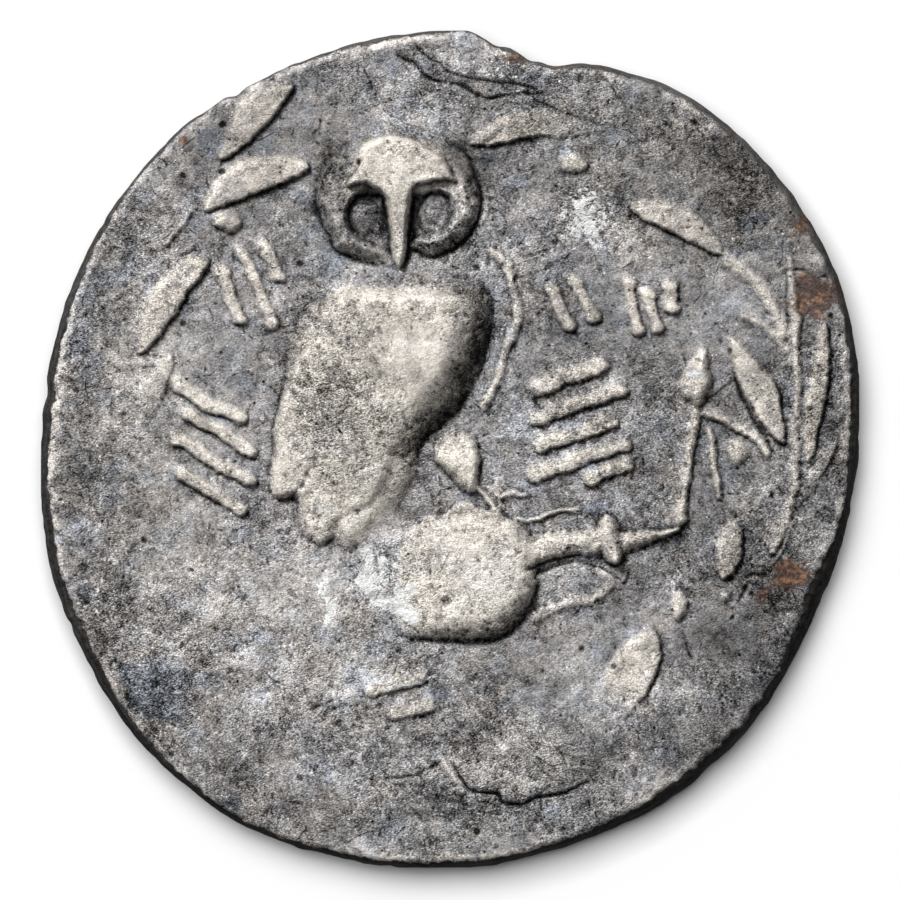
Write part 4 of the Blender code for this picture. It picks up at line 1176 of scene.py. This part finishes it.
def under_side():
    """Heights in mm above the table, and the tone masks, drawn in the coin's own plan."""
    shape = under_relief()
    middle = noise(0.7, 42, finer=2)
    edge = radius_at(BELLY_RADII, PLAN_X, PLAN_Y) - UNDER_RIM_INSET
    height = dished(edge, UNDER_FIELD, UNDER_RIM) - blur(shape, 0.04)
    height = height + 0.025 * noise(2.4, 41, finer=1) + 0.012 * middle
    marks = np.zeros(height.shape)
    scatter_pits(height, marks, 1200, 43, (0.04, 0.12), (-0.05, -0.015))
    height += 0.2 * (1.0 - rounded(inside_edge(PLAN_X, PLAN_Y, False) / 0.42))
    height = np.maximum(height, 0.004 * (1.0 + np.tanh(noise(0.5, 44))))
    hollow = height - blur(height, 0.18)
    high = smooth_step(0.25, 0.65, shape)
    level = (
        FIELD_LEVEL - 0.03 + 0.16 * high - 0.26 * smooth_step(0.006, 0.07, hollow) - 0.2 * marks
        + 0.03 * middle + 0.03 * noise(1.6, 49, finer=2)
    )
    masks = {
        "level": np.clip(level, 0.04, 1.0),
        "rust": 0.6 * smooth_step(1.6, 2.4, noise(3.0, 45, finer=1)),
        "chalk": 0.5 * smooth_step(1.5, 2.4, noise(2.4, 46, finer=1)),
        "cream": 0.8 * high,
        "slate": 0.4 * smooth_step(0.3, 1.6, noise(5.0, 47)),
        "warm": 0.5 * smooth_step(0.0, 1.6, noise(6.0, 48)),
        "rough": 0.9 + 0.2 * np.tanh(middle),
        "bare": np.full(height.shape, 0.4),
        "flank": by_angle(FLANK_TONE, PLAN_X, PLAN_Y),
    }
    return height, masks


# ---------------------------------------------------------------- the mesh

RING_CELLS = 558    # cells along one side of the square that maps to the disc
UNDER_SHARE = 3                       # cells of the owl side to one of the underside
FLANK_RINGS = 22
FLANK_DENT = 0.035                    # depth of the flank's dents, and the number of their waves
FLANK_WAVES = 40
TRIANGLES = 196000


def sample(field, x, y):
    """Reads a plan field at points, between its samples."""
    column = np.clip((x - AXIS[0]) / STEP, 0.0, COUNT - 1.001)
    row = np.clip((y - AXIS[0]) / STEP, 0.0, COUNT - 1.001)
    c, r = column.astype(int), row.astype(int)
    u, v = column - c, row - r
    return (
        field[r, c] * (1 - u) * (1 - v) + field[r, c + 1] * u * (1 - v)
        + field[r + 1, c] * (1 - u) * v + field[r + 1, c + 1] * u * v
    )


def disc(cells, radii):
    """Points of a square grid drawn out to a disc with the given edge radii."""
    side = np.linspace(-1.0, 1.0, cells + 1)
    a, b = np.meshgrid(side, side)
    wide = np.abs(a) > np.abs(b)
    safe_a = np.where(a == 0.0, 1.0, a)
    safe_b = np.where(b == 0.0, 1.0, b)
    share = np.where(wide, a, b)
    angle = np.where(wide, 0.25 * math.pi * b / safe_a, 0.5 * math.pi - 0.25 * math.pi * a / safe_b)
    angle = np.where((a == 0.0) & (b == 0.0), 0.0, angle)
    unit_x, unit_y = share * np.cos(angle), share * np.sin(angle)
    edge = radius_at(radii, unit_x, unit_y)
    return unit_x * edge, unit_y * edge


def disc_faces(cells, first, upward):
    """Triangles of the square grid, its diagonals turned so that none is flat at a corner."""
    index = first + np.arange((cells + 1) ** 2).reshape(cells + 1, cells + 1)
    a, b = index[:-1, :-1], index[:-1, 1:]
    c, d = index[1:, 1:], index[1:, :-1]
    rows, columns = np.meshgrid(np.arange(cells), np.arange(cells), indexing="ij")
    same = (rows < cells / 2) == (columns < cells / 2)
    first_half = np.where(same[..., None], np.stack((a, b, c), -1), np.stack((a, b, d), -1))
    second_half = np.where(same[..., None], np.stack((a, c, d), -1), np.stack((b, c, d), -1))
    faces = np.concatenate((first_half.reshape(-1, 3), second_half.reshape(-1, 3)))
    return faces if upward else faces[:, ::-1]


def rim_loop(cells, first):
    """The grid's outer points in order, anticlockwise as seen from above."""
    index = first + np.arange((cells + 1) ** 2).reshape(cells + 1, cells + 1)
    return np.concatenate((index[0, :-1], index[:-1, -1], index[-1, :0:-1], index[:0:-1, 0]))


def side_points(cells, radii, heights):
    """Points of one side, read off its heights."""
    x, y = disc(cells, radii)
    return np.column_stack((x.ravel(), y.ravel(), sample(heights, x, y).ravel()))


def flank_rings(start, end):
    """Rings of points from the owl side's edge round the widest outline to the underside's edge."""
    angle = np.arctan2(start[:, 1], start[:, 0])
    belly = radius_at(BELLY_RADII, start[:, 0], start[:, 1])
    phases = np.random.default_rng(51).uniform(0.0, 2.0 * math.pi, FLANK_WAVES)
    rings = []
    for ring in range(1, FLANK_RINGS):
        share = ring / FLANK_RINGS
        rim, part = (start, share * 2.0) if share < 0.5 else (end, 2.0 - share * 2.0)
        rim_radius = np.hypot(rim[:, 0], rim[:, 1])
        bulge = math.sin(0.5 * math.pi * part) ** 0.8
        radius = rim_radius + (belly - rim_radius) * bulge
        height = rim[:, 2] + (BELLY - rim[:, 2]) * part ** 1.15
        dents = np.zeros(angle.shape)
        for wave, phase in enumerate(phases):
            drift = 2.6 * share * math.sin(wave)
            dents += np.cos((3 + 4 * wave) * angle + phase + drift) / (3 + wave) ** 0.7
        radius -= FLANK_DENT * bulge * (1.0 + np.tanh(0.8 * dents))
        rings.append(np.column_stack((radius * np.cos(angle), radius * np.sin(angle), height)))
    return rings


def flank_faces(loops, under_rim):
    """Triangles between the flank's loops, and from the last one to the underside's coarser edge."""
    faces = []
    for above, below in zip(loops[:-1], loops[1:]):
        above_next, below_next = np.roll(above, -1), np.roll(below, -1)
        faces.append(np.column_stack((above, below, below_next)))
        faces.append(np.column_stack((above, below_next, above_next)))
    last = loops[-1]
    owner = (np.arange(len(last)) + 1) // UNDER_SHARE % len(under_rim)
    faces.append(np.column_stack((last, under_rim[owner], np.roll(last, -1))))
    between = last[UNDER_SHARE - 1::UNDER_SHARE]
    faces.append(np.column_stack((between, under_rim, np.roll(under_rim, -1))))
    return faces


def coin_points():
    """All points and triangles of the coin, before they are thinned out, and the tone masks."""
    top_height, top_masks = owl_side()
    under_height, under_masks = under_side()
    under_cells = RING_CELLS // UNDER_SHARE
    top = side_points(RING_CELLS, TOP_RADII, top_height)
    under = side_points(under_cells, BELLY_RADII - UNDER_RIM_INSET, under_height)
    top_rim = rim_loop(RING_CELLS, 0)
    under_rim = rim_loop(under_cells, len(top))

    # The underside's edge, with as many points as the owl side's
    count = len(top_rim)
    closed = under[np.append(under_rim, under_rim[0]) - len(top)]
    places = np.arange(0, count + 1, UNDER_SHARE)
    end = np.column_stack([np.interp(np.arange(count), places, column) for column in closed.T])
    rings = flank_rings(top[top_rim], end)
    first = len(top) + len(under)
    loops = [top_rim] + [first + count * ring + np.arange(count) for ring in range(len(rings))]

    limit, middle = np.array(BOX_LIMIT), np.array(FLAN_CENTRE)
    points = np.clip(np.concatenate([top, under] + rings), middle - limit * (1, 1, 0), middle + limit)
    faces = [disc_faces(RING_CELLS, 0, True), disc_faces(under_cells, len(top), False)]
    return points, np.concatenate(faces + flank_faces(loops, under_rim)), top_masks, under_masks


def make_mesh(name, points, faces):
    mesh = bpy.data.meshes.new(name)
    mesh.vertices.add(len(points))
    mesh.vertices.foreach_set("co", points.ravel())
    mesh.loops.add(3 * len(faces))
    mesh.loops.foreach_set("vertex_index", faces.ravel().astype(np.int32))
    mesh.polygons.add(len(faces))
    mesh.polygons.foreach_set("loop_start", np.arange(0, 3 * len(faces), 3, dtype=np.int32))
    mesh.update(calc_edges=True)
    mesh.validate()
    return mesh


def thinned(piece, triangles):
    """The piece's mesh with fewer triangles, kept where the surface turns."""
    thin = piece.modifiers.new("thin", "DECIMATE")
    thin.ratio = triangles / len(piece.data.polygons)
    mesh = bpy.data.meshes.new_from_object(piece.evaluated_get(bpy.context.evaluated_depsgraph_get()))
    piece.modifiers.clear()
    full = piece.data
    piece.data = mesh
    bpy.data.meshes.remove(full)


def mesh_points(mesh):
    points = np.empty(3 * len(mesh.vertices), dtype=np.float32)
    mesh.vertices.foreach_get("co", points)
    return points.reshape(-1, 3)


# Middles and sizes of the two sides in the bake map, and its strips of the edge, in shares of its side
TOP_MIDDLE = (0.365, 0.635)
TOP_SPAN = 0.7
UNDER_MIDDLE = (0.865, 0.855)
UNDER_SPAN = 0.25
EDGE_STRIPS = 6
EDGE_STRIP_HEIGHT = 0.036
EDGE_STRIP_WIDTH = 0.96


def bake_map(mesh, centre):
    """A flat map for baking: the two sides seen square on, and the edge cut into strips."""
    corners = np.empty(3 * len(mesh.polygons), dtype=np.int32)
    mesh.loops.foreach_get("vertex_index", corners)
    corner = (mesh_points(mesh) / MM + centre)[corners]
    middle = corner.reshape(-1, 3, 3).mean(axis=1)
    inward = inside_edge(middle[:, 0], middle[:, 1], middle[:, 2] > BELLY)
    on_top = np.repeat((inward > 0.0) & (middle[:, 2] > BELLY), 3)
    on_under = np.repeat((inward > 0.0) & (middle[:, 2] < BELLY), 3)

    span = 2.0 * HALF
    u = TOP_MIDDLE[0] + corner[:, 0] / span * TOP_SPAN
    v = TOP_MIDDLE[1] + corner[:, 1] / span * TOP_SPAN
    u = np.where(on_under, UNDER_MIDDLE[0] - corner[:, 0] / span * UNDER_SPAN, u)
    v = np.where(on_under, UNDER_MIDDLE[1] + corner[:, 1] / span * UNDER_SPAN, v)

    turn = (np.arctan2(corner[:, 1], corner[:, 0]) / (2.0 * math.pi) % 1.0).reshape(-1, 3)
    wraps = (turn.max(axis=1) - turn.min(axis=1)) > 0.5
    turn = np.where(wraps[:, None] & (turn < 0.5), turn + 1.0, turn)
    strip = np.floor(turn.mean(axis=1) * EDGE_STRIPS)
    place = (turn * EDGE_STRIPS - strip[:, None]).ravel()
    edge_u = 0.02 + EDGE_STRIP_WIDTH * (0.04 + 0.92 * place)
    edge_v = 0.012 + EDGE_STRIP_HEIGHT * (np.repeat(strip, 3) + 0.85 * corner[:, 2] / (TOP_RIM + 0.2))
    on_edge = ~(on_top | on_under)
    u = np.where(on_edge, edge_u, u)
    v = np.where(on_edge, edge_v, v)
    layer = mesh.uv_layers.new(name="OFBake")
    layer.data.foreach_set("uv", np.column_stack((u, v)).ravel().astype(np.float32))


# The masks that each colour attribute holds
PAINTED = {
    "tone": ("level", "rust", "chalk", "cream"),
    "tint": ("slate", "warm", "edge", "rough"),
    "wear": ("bare", "flank", "flank", "flank"),
}


def paint_masks(mesh, top_masks, under_masks, centre):
    """Stores the tone masks on the mesh's points."""
    x, y, z = (mesh_points(mesh) / MM + centre).T
    upper = z > BELLY
    masks = {
        key: np.where(upper, sample(top_masks[key], x, y), sample(under_masks[key], x, y))
        for key in top_masks
    }
    masks["edge"] = np.clip(0.5 - inside_edge(x, y, upper), 0.0, 1.0)
    for name, keys in PAINTED.items():
        layer = mesh.color_attributes.new(name, "FLOAT_COLOR", "POINT")
        values = np.column_stack([masks[key] for key in keys]).astype(np.float32)
        layer.data.foreach_set("color", values.ravel())


def settle(mesh):
    """Keeps every point at or above what the coin lies on."""
    points = mesh_points(mesh)
    points[:, 2] = np.maximum(points[:, 2], 0.0)
    mesh.vertices.foreach_set("co", points.ravel())


def build_coin():
    points, faces, top_masks, under_masks = coin_points()
    centre = np.array(FLAN_CENTRE)
    mesh = make_mesh("coin_surface", ((points - centre) * MM).astype(np.float32), faces)
    coin = bpy.data.objects.new("coin_surface", mesh)
    bpy.context.scene.collection.objects.link(coin)
    thinned(coin, TRIANGLES)
    coin.data.name = "coin_surface"
    settle(coin.data)
    bake_map(coin.data, centre)
    paint_masks(coin.data, top_masks, under_masks, centre)
    coin.data.shade_smooth()
    return coin


def flan_centre():
    """Where the middle of the outline's box lies in the plan, worked out as the CAD does."""
    turns = range(0, 360, 3)
    xs = [around(OUTLINE, turn) * math.cos(math.radians(turn)) for turn in turns]
    ys = [around(OUTLINE, turn) * math.sin(math.radians(turn)) for turn in turns]
    return (0.5 * (max(xs) + min(xs)), 0.5 * (max(ys) + min(ys)), 0.0)


FLAN_CENTRE = flan_centre()
# How far from that centre, and above the table, points may lie: just inside the CAD box
BOX_LIMIT = tuple(float(corner) / MM - 0.005 for corner in cad_box[1])


# ---------------------------------------------------------------- materials

class Value:
    """A shader socket that can be reckoned with; each sign makes a maths node."""

    def __init__(self, graph, socket):
        self.graph = graph
        self.socket = socket

    def __add__(self, other):
        return self.graph.math("ADD", self, other)

    def __sub__(self, other):
        return self.graph.math("SUBTRACT", self, other)

    def __mul__(self, other):
        return self.graph.math("MULTIPLY", self, other)


class Graph:
    """Short hand for wiring a material's shader nodes."""

    def __init__(self, name):
        self.material = bpy.data.materials.new(name)
        self.material.use_nodes = True
        self.tree = self.material.node_tree
        self.shader = self.tree.nodes["Principled BSDF"].inputs

    def node(self, kind, inputs=(), **settings):
        node = self.tree.nodes.new(kind)
        for key, value in settings.items():
            setattr(node, key, value)
        for key, value in dict(inputs).items():
            self.set(node.inputs[key], value)
        return node

    def add(self, kind, inputs=(), output=0, **settings):
        """One output of a new node."""
        return Value(self, self.node(kind, inputs, **settings).outputs[output])

    def set(self, socket, value):
        if isinstance(value, Value):
            self.tree.links.new(value.socket, socket)
        else:
            socket.default_value = value

    def math(self, operation, a, b=0.0, clamp=False):
        return self.add("ShaderNodeMath", {0: a, 1: b}, operation=operation, use_clamp=clamp)

    def most(self, a, b):
        return self.math("MAXIMUM", a, b)

    def total(self, values):
        result = values[0]
        for value in values[1:]:
            result = result + value
        return result

    def mix(self, share, a, b, blend="MIX"):
        inputs = {"Factor": share, "A": a, "B": b}
        return self.add("ShaderNodeMix", inputs, "Result", data_type="RGBA", blend_type=blend)

    def noise(self, place, per_mm, detail=2.0, roughness=0.5):
        inputs = {"Vector": place, "Scale": per_mm, "Detail": detail, "Roughness": roughness}
        return self.add("ShaderNodeTexNoise", inputs, "Fac")

    def between(self, value, low, high, start=0.0, end=1.0):
        """The value's way from low to high, drawn out from start to end with soft ends."""
        inputs = {"Value": value, "From Min": low, "From Max": high, "To Min": start, "To Max": end}
        return self.add("ShaderNodeMapRange", inputs, "Result", interpolation_type="SMOOTHSTEP")

    def vector(self, operation, a, b):
        return self.add("ShaderNodeVectorMath", {0: a, 1: b}, operation=operation)

    def moved(self, place, way):
        return self.vector("ADD", place, (way, way, 0.0))

    def stretched(self, place, degrees, scale):
        inputs = {"Vector": place, "Angle": math.radians(-degrees)}
        turned = self.add("ShaderNodeVectorRotate", inputs, rotation_type="Z_AXIS")
        return self.vector("MULTIPLY", turned, scale)

    def painted(self, name):
        """The four masks that a colour attribute of the mesh holds."""
        mask = self.node("ShaderNodeAttribute", attribute_name=name).outputs
        parts = self.node("ShaderNodeSeparateColor", {0: Value(self, mask["Color"])}).outputs
        return [Value(self, socket) for socket in (*parts, mask["Alpha"])]

    def cells(self, place, per_mm, share, soft, radii):
        """Spots with a soft edge between two radii, in that share of the cells of a Voronoi pattern."""
        cells = self.node("ShaderNodeTexVoronoi", {"Vector": place, "Scale": per_mm}).outputs
        chance = self.add("ShaderNodeSeparateColor", {0: Value(self, cells["Color"])})
        spot = self.between(Value(self, cells["Distance"]), *radii, 1.0, 0.0)
        return spot * self.between(chance, share + soft, share, 0.0, 1.0)

    def marks(self, place, per_mm, degrees, share):
        """Short strokes about one direction."""
        bent = self.add("ShaderNodeTexNoise", {"Vector": place, "Scale": 0.7, "Detail": 0.0}, "Color")
        bent = self.vector("ADD", place, self.vector("MULTIPLY", bent, (3.0, 3.0, 0.0)))
        return self.cells(self.stretched(bent, degrees, (0.34, 1.3, 1.0)), per_mm, share, 0.06, (0.12, 0.22))

    def dots(self, place, per_mm, share):
        """Small round spots."""
        return self.cells(place, per_mm, share, 0.04, (0.1, 0.24))

    def hairs(self, place, per_mm, width):
        """Broken thin lines, where a noise passes its middle."""
        line = self.math("ABSOLUTE", self.noise(place, per_mm, 3.0, 0.62) - 0.5)
        line = self.between(line, 0.0, width, 1.0, 0.0)
        return line * self.between(self.noise(place, 1.7, 0.0), 0.5, 0.56)


LEDGES = (0.4, 0.46, 0.52, 0.58)      # values of a noise at which the skin has a step
SKIN_RELIEF = 0.1                     # mm, the relief of the skin's finest patterns
CREAM = (1.075, 0.995, 0.9, 1.0)
FIELD_GREY = (1.012, 0.99, 1.0, 1.0)
SLATE_BLUE = (0.93, 0.985, 1.1, 1.0)
WARM_GREY = (1.06, 0.985, 0.93, 1.0)
RUST_DARK = (0.085, 0.052, 0.042, 1.0)
RUST_BRIGHT = (0.38, 0.2, 0.115, 1.0)
CHALK_WHITE = (0.98, 0.98, 0.97, 1.0)
FLOOR_WHITE = (0.93, 0.93, 0.93, 1.0)
FLOOR_BOUNCE = (0.25, 0.25, 0.25, 1.0)


def silver_wear(graph, place):
    """The fine patterns in the silver's skin, each of which shows in its tone and some in its relief."""
    lumps = graph.noise(place, 0.9, 5.0, 0.68)
    skin = graph.noise(graph.moved(place, 17.0), 2.1, 4.0, 0.7)
    bright = graph.between(graph.noise(graph.moved(place, 31.0), 0.8, 4.0, 0.65), 0.51, 0.6)
    return SimpleNamespace(
        fine=graph.noise(graph.stretched(place, 20.0, (0.66, 1.2, 1.0)), 17.0, 1.0, 0.8),
        grain=graph.noise(place, 4.2, 3.0, 0.7),
        lumps=lumps,
        ledges=graph.total([graph.between(lumps, step, step + 0.008) for step in LEDGES]),
        scales=graph.total([graph.between(skin, step, step + 0.014) for step in LEDGES]),
        marks=graph.most(graph.marks(place, 2.3, 25.0, 0.3), graph.marks(place, 3.1, 105.0, 0.24)),
        dots=graph.most(graph.dots(place, 3.0, 0.05), graph.dots(graph.moved(place, 9.0), 1.3, 0.1)),
        flecks=graph.dots(graph.moved(place, 23.0), 5.0, 0.5) * bright,
        hair=graph.most(
            graph.hairs(place, 0.8, 0.01), graph.hairs(graph.moved(place, 40.0), 1.9, 0.018)))


def edge_zones(graph, place, edge, bare):
    """The flank, and the band of bare metal along the owl side's edge, with ragged borders."""
    ragged = edge + (graph.noise(place, 2.2, 4.0, 0.7) - 0.5) * 0.34
    flank = graph.between(ragged, 0.47, 0.53)
    band = graph.between(ragged, 0.16, 0.36) * graph.between(ragged, 0.52, 0.46)
    band = band * graph.between(graph.noise(place, 1.6, 4.0, 0.7), 0.45, 0.53)
    return flank, band * bare


def rusted(graph, place, colour, rust, wear):
    """The colour with rust where its mask and the skin's lumps make it."""
    ragged = rust + (wear.lumps - 0.5) * 1.6
    ragged = ragged + (wear.grain - 0.5) * 0.8
    bright = graph.between(graph.noise(place, 3.0, 3.0, 0.7), 0.46, 0.66)
    rust_colour = graph.mix(bright, RUST_DARK, RUST_BRIGHT)
    return graph.mix(graph.between(ragged, 0.36, 0.6) * 0.85, colour, rust_colour)


def chalked(graph, place, colour, chalk, flank):
    """The colour with ragged white crust, but not on the flank."""
    share = chalk + (graph.noise(place, 3.2, 4.0, 0.75) - 0.5) * 2.4
    share = graph.between(share, 0.54, 0.68, 0.0, 0.95)
    share = share * graph.between(chalk, 0.02, 0.2)
    share = share * graph.between(flank, 0.0, 0.5, 1.0, 0.0)
    return graph.mix(share, colour, CHALK_WHITE)


def worn_silver():
    graph = Graph("worn_silver")
    place = graph.add("ShaderNodeTexCoord", output="Object")
    place = graph.add("ShaderNodeVectorMath", {0: place, "Scale": 1.0 / MM}, operation="SCALE")
    base, rust, chalk, cream = graph.painted("tone")
    slate, warm, edge, rough = graph.painted("tint")
    bare, flank_level = graph.painted("wear")[:2]
    wear = silver_wear(graph, place)
    flank, band = edge_zones(graph, place, edge, bare)

    speckle = (wear.fine - 0.5) * 1.3 + (wear.grain - 0.5) * 0.35
    level = base + speckle * rough
    level = level + (wear.ledges - 2.0) * 0.034 + (wear.scales - 2.0) * 0.03
    level = level - wear.dots * 0.4 - wear.marks * 0.2 + wear.flecks * 0.42 - wear.hair * 0.24
    level = level + band * 0.3
    layers = graph.noise(graph.vector("MULTIPLY", place, (0.5, 0.5, 5.0)), 1.0, 4.0, 0.7)
    flank_tone = flank_level + (layers - 0.5) * 0.45 + (wear.grain - 0.5) * 0.35
    level = graph.add("ShaderNodeMix", {0: flank, 2: level, 3: flank_tone}, data_type="FLOAT")
    level = graph.math("MINIMUM", graph.most(level, 0.02), 1.0)
    shade = graph.math("POWER", level, 2.2)
    grey = graph.add("ShaderNodeCombineColor", {0: shade, 1: shade, 2: shade})

    tint = graph.mix(graph.math("ADD", cream, band * 0.6, clamp=True), FIELD_GREY, CREAM)
    tint = graph.mix(graph.most(warm, flank * 0.9), tint, WARM_GREY)
    tint = graph.mix(slate, tint, SLATE_BLUE)
    colour = graph.mix(1.0, grey, tint, "MULTIPLY")
    colour = rusted(graph, place, colour, rust, wear)
    graph.set(graph.shader["Base Color"], chalked(graph, place, colour, chalk, flank))
    graph.set(graph.shader["Roughness"], graph.between(level, 0.2, 0.95, 0.8, 0.58))
    graph.set(graph.shader["Metallic"], graph.between(flank, 0.0, 1.0, 0.3, 0.0))
    graph.set(graph.shader["Specular IOR Level"], 0.2)

    relief = wear.fine * 0.36 + wear.grain * 0.6 + wear.ledges * 0.3 + wear.scales * 0.22
    relief = (relief - wear.marks * 0.5) * rough
    bump = {"Height": relief, "Strength": 1.0, "Distance": SKIN_RELIEF * MM}
    graph.set(graph.shader["Normal"], graph.add("ShaderNodeBump", bump))
    return graph.material


def plain_floor():
    """White to look at, but throws little light back at the coin, as a cut-out's ground does."""
    graph = Graph("pale_floor")
    seen = graph.add("ShaderNodeLightPath", output="Is Camera Ray")
    graph.set(graph.shader["Base Color"], graph.mix(seen, FLOOR_BOUNCE, FLOOR_WHITE))
    graph.set(graph.shader["Roughness"], 0.9)
    return graph.material


# ---------------------------------------------------------------- stage, light and camera

FLOOR_HALF = 2.0            # metres from the coin to the floor's sides


def add_stage():
    corners = [(x * FLOOR_HALF, y * FLOOR_HALF, 0.0) for x, y in ((-1, -1), (1, -1), (1, 1), (-1, 1))]
    mesh = bpy.data.meshes.new("floor")
    mesh.from_pydata(corners, [], [(0, 1, 2, 3)])
    floor = bpy.data.objects.new("floor", mesh)
    floor.data.materials.append(plain_floor())
    bpy.context.scene.collection.objects.link(floor)
    return floor


def add_light(name, azimuth, elevation, distance, size, share, only):
    """A square lamp that faces the coin and lights one object only.

    The azimuth is anticlockwise from +X. The share is how much of full brightness the lamp
    gives a level surface.
    """
    a, e = math.radians(azimuth), math.radians(elevation)
    lamp = bpy.data.lights.new(name, "AREA")
    lamp.energy = share * (math.pi * distance) ** 2 / math.sin(e)
    lamp.size = size
    holder = bpy.data.objects.new(name, lamp)
    away = Vector((math.cos(a) * math.cos(e), math.sin(a) * math.cos(e), math.sin(e)))
    holder.location = away * distance
    holder.rotation_euler = away.to_track_quat("Z", "Y").to_euler()
    bpy.context.scene.collection.objects.link(holder)
    lit = bpy.data.collections.new(name + "_lights")
    lit.objects.link(only)
    holder.light_linking.receiver_collection = lit


WORLD_STRENGTH = 0.12


def add_lights(coin, floor):
    add_light("key", 122, 38, 0.6, 0.18, 0.84, coin)
    add_light("fill", 20, 75, 0.8, 0.6, 0.08, coin)
    add_light("table_light", 117, 71.3, 0.8, 0.52, 1.12, floor)
    world = bpy.data.worlds.new("studio")
    world.use_nodes = True
    background = world.node_tree.nodes["Background"]
    background.inputs["Color"].default_value = (1.0, 1.0, 1.0, 1.0)
    background.inputs["Strength"].default_value = WORLD_STRENGTH
    bpy.context.scene.world = world


CAMERA_HEIGHT = 0.6          # metres above the table
SENSOR_WIDTH = 36.0
VIEW_WIDTH = 35.35           # mm of the coin's plan that the picture is wide
VIEW_MIDDLE = (0.02, -0.04)  # mm, the plan's point in the middle of the picture


def add_camera():
    camera = bpy.data.cameras.new("camera")
    camera.sensor_width = SENSOR_WIDTH
    camera.lens = SENSOR_WIDTH * (CAMERA_HEIGHT - BELLY * MM) / (VIEW_WIDTH * MM)
    camera.clip_end = 10.0
    camera.clip_start = 0.01
    holder = bpy.data.objects.new("camera", camera)
    holder.location = (
        (VIEW_MIDDLE[0] - FLAN_CENTRE[0]) * MM, (VIEW_MIDDLE[1] - FLAN_CENTRE[1]) * MM, CAMERA_HEIGHT)
    bpy.context.scene.collection.objects.link(holder)
    bpy.context.scene.camera = holder


add_camera()
coin = build_coin()
add_lights(coin, add_stage())
coin.data.materials.append(worn_silver())
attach(coin, "root")
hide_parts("coin")
bpy.context.scene.view_settings.view_transform = "Standard"
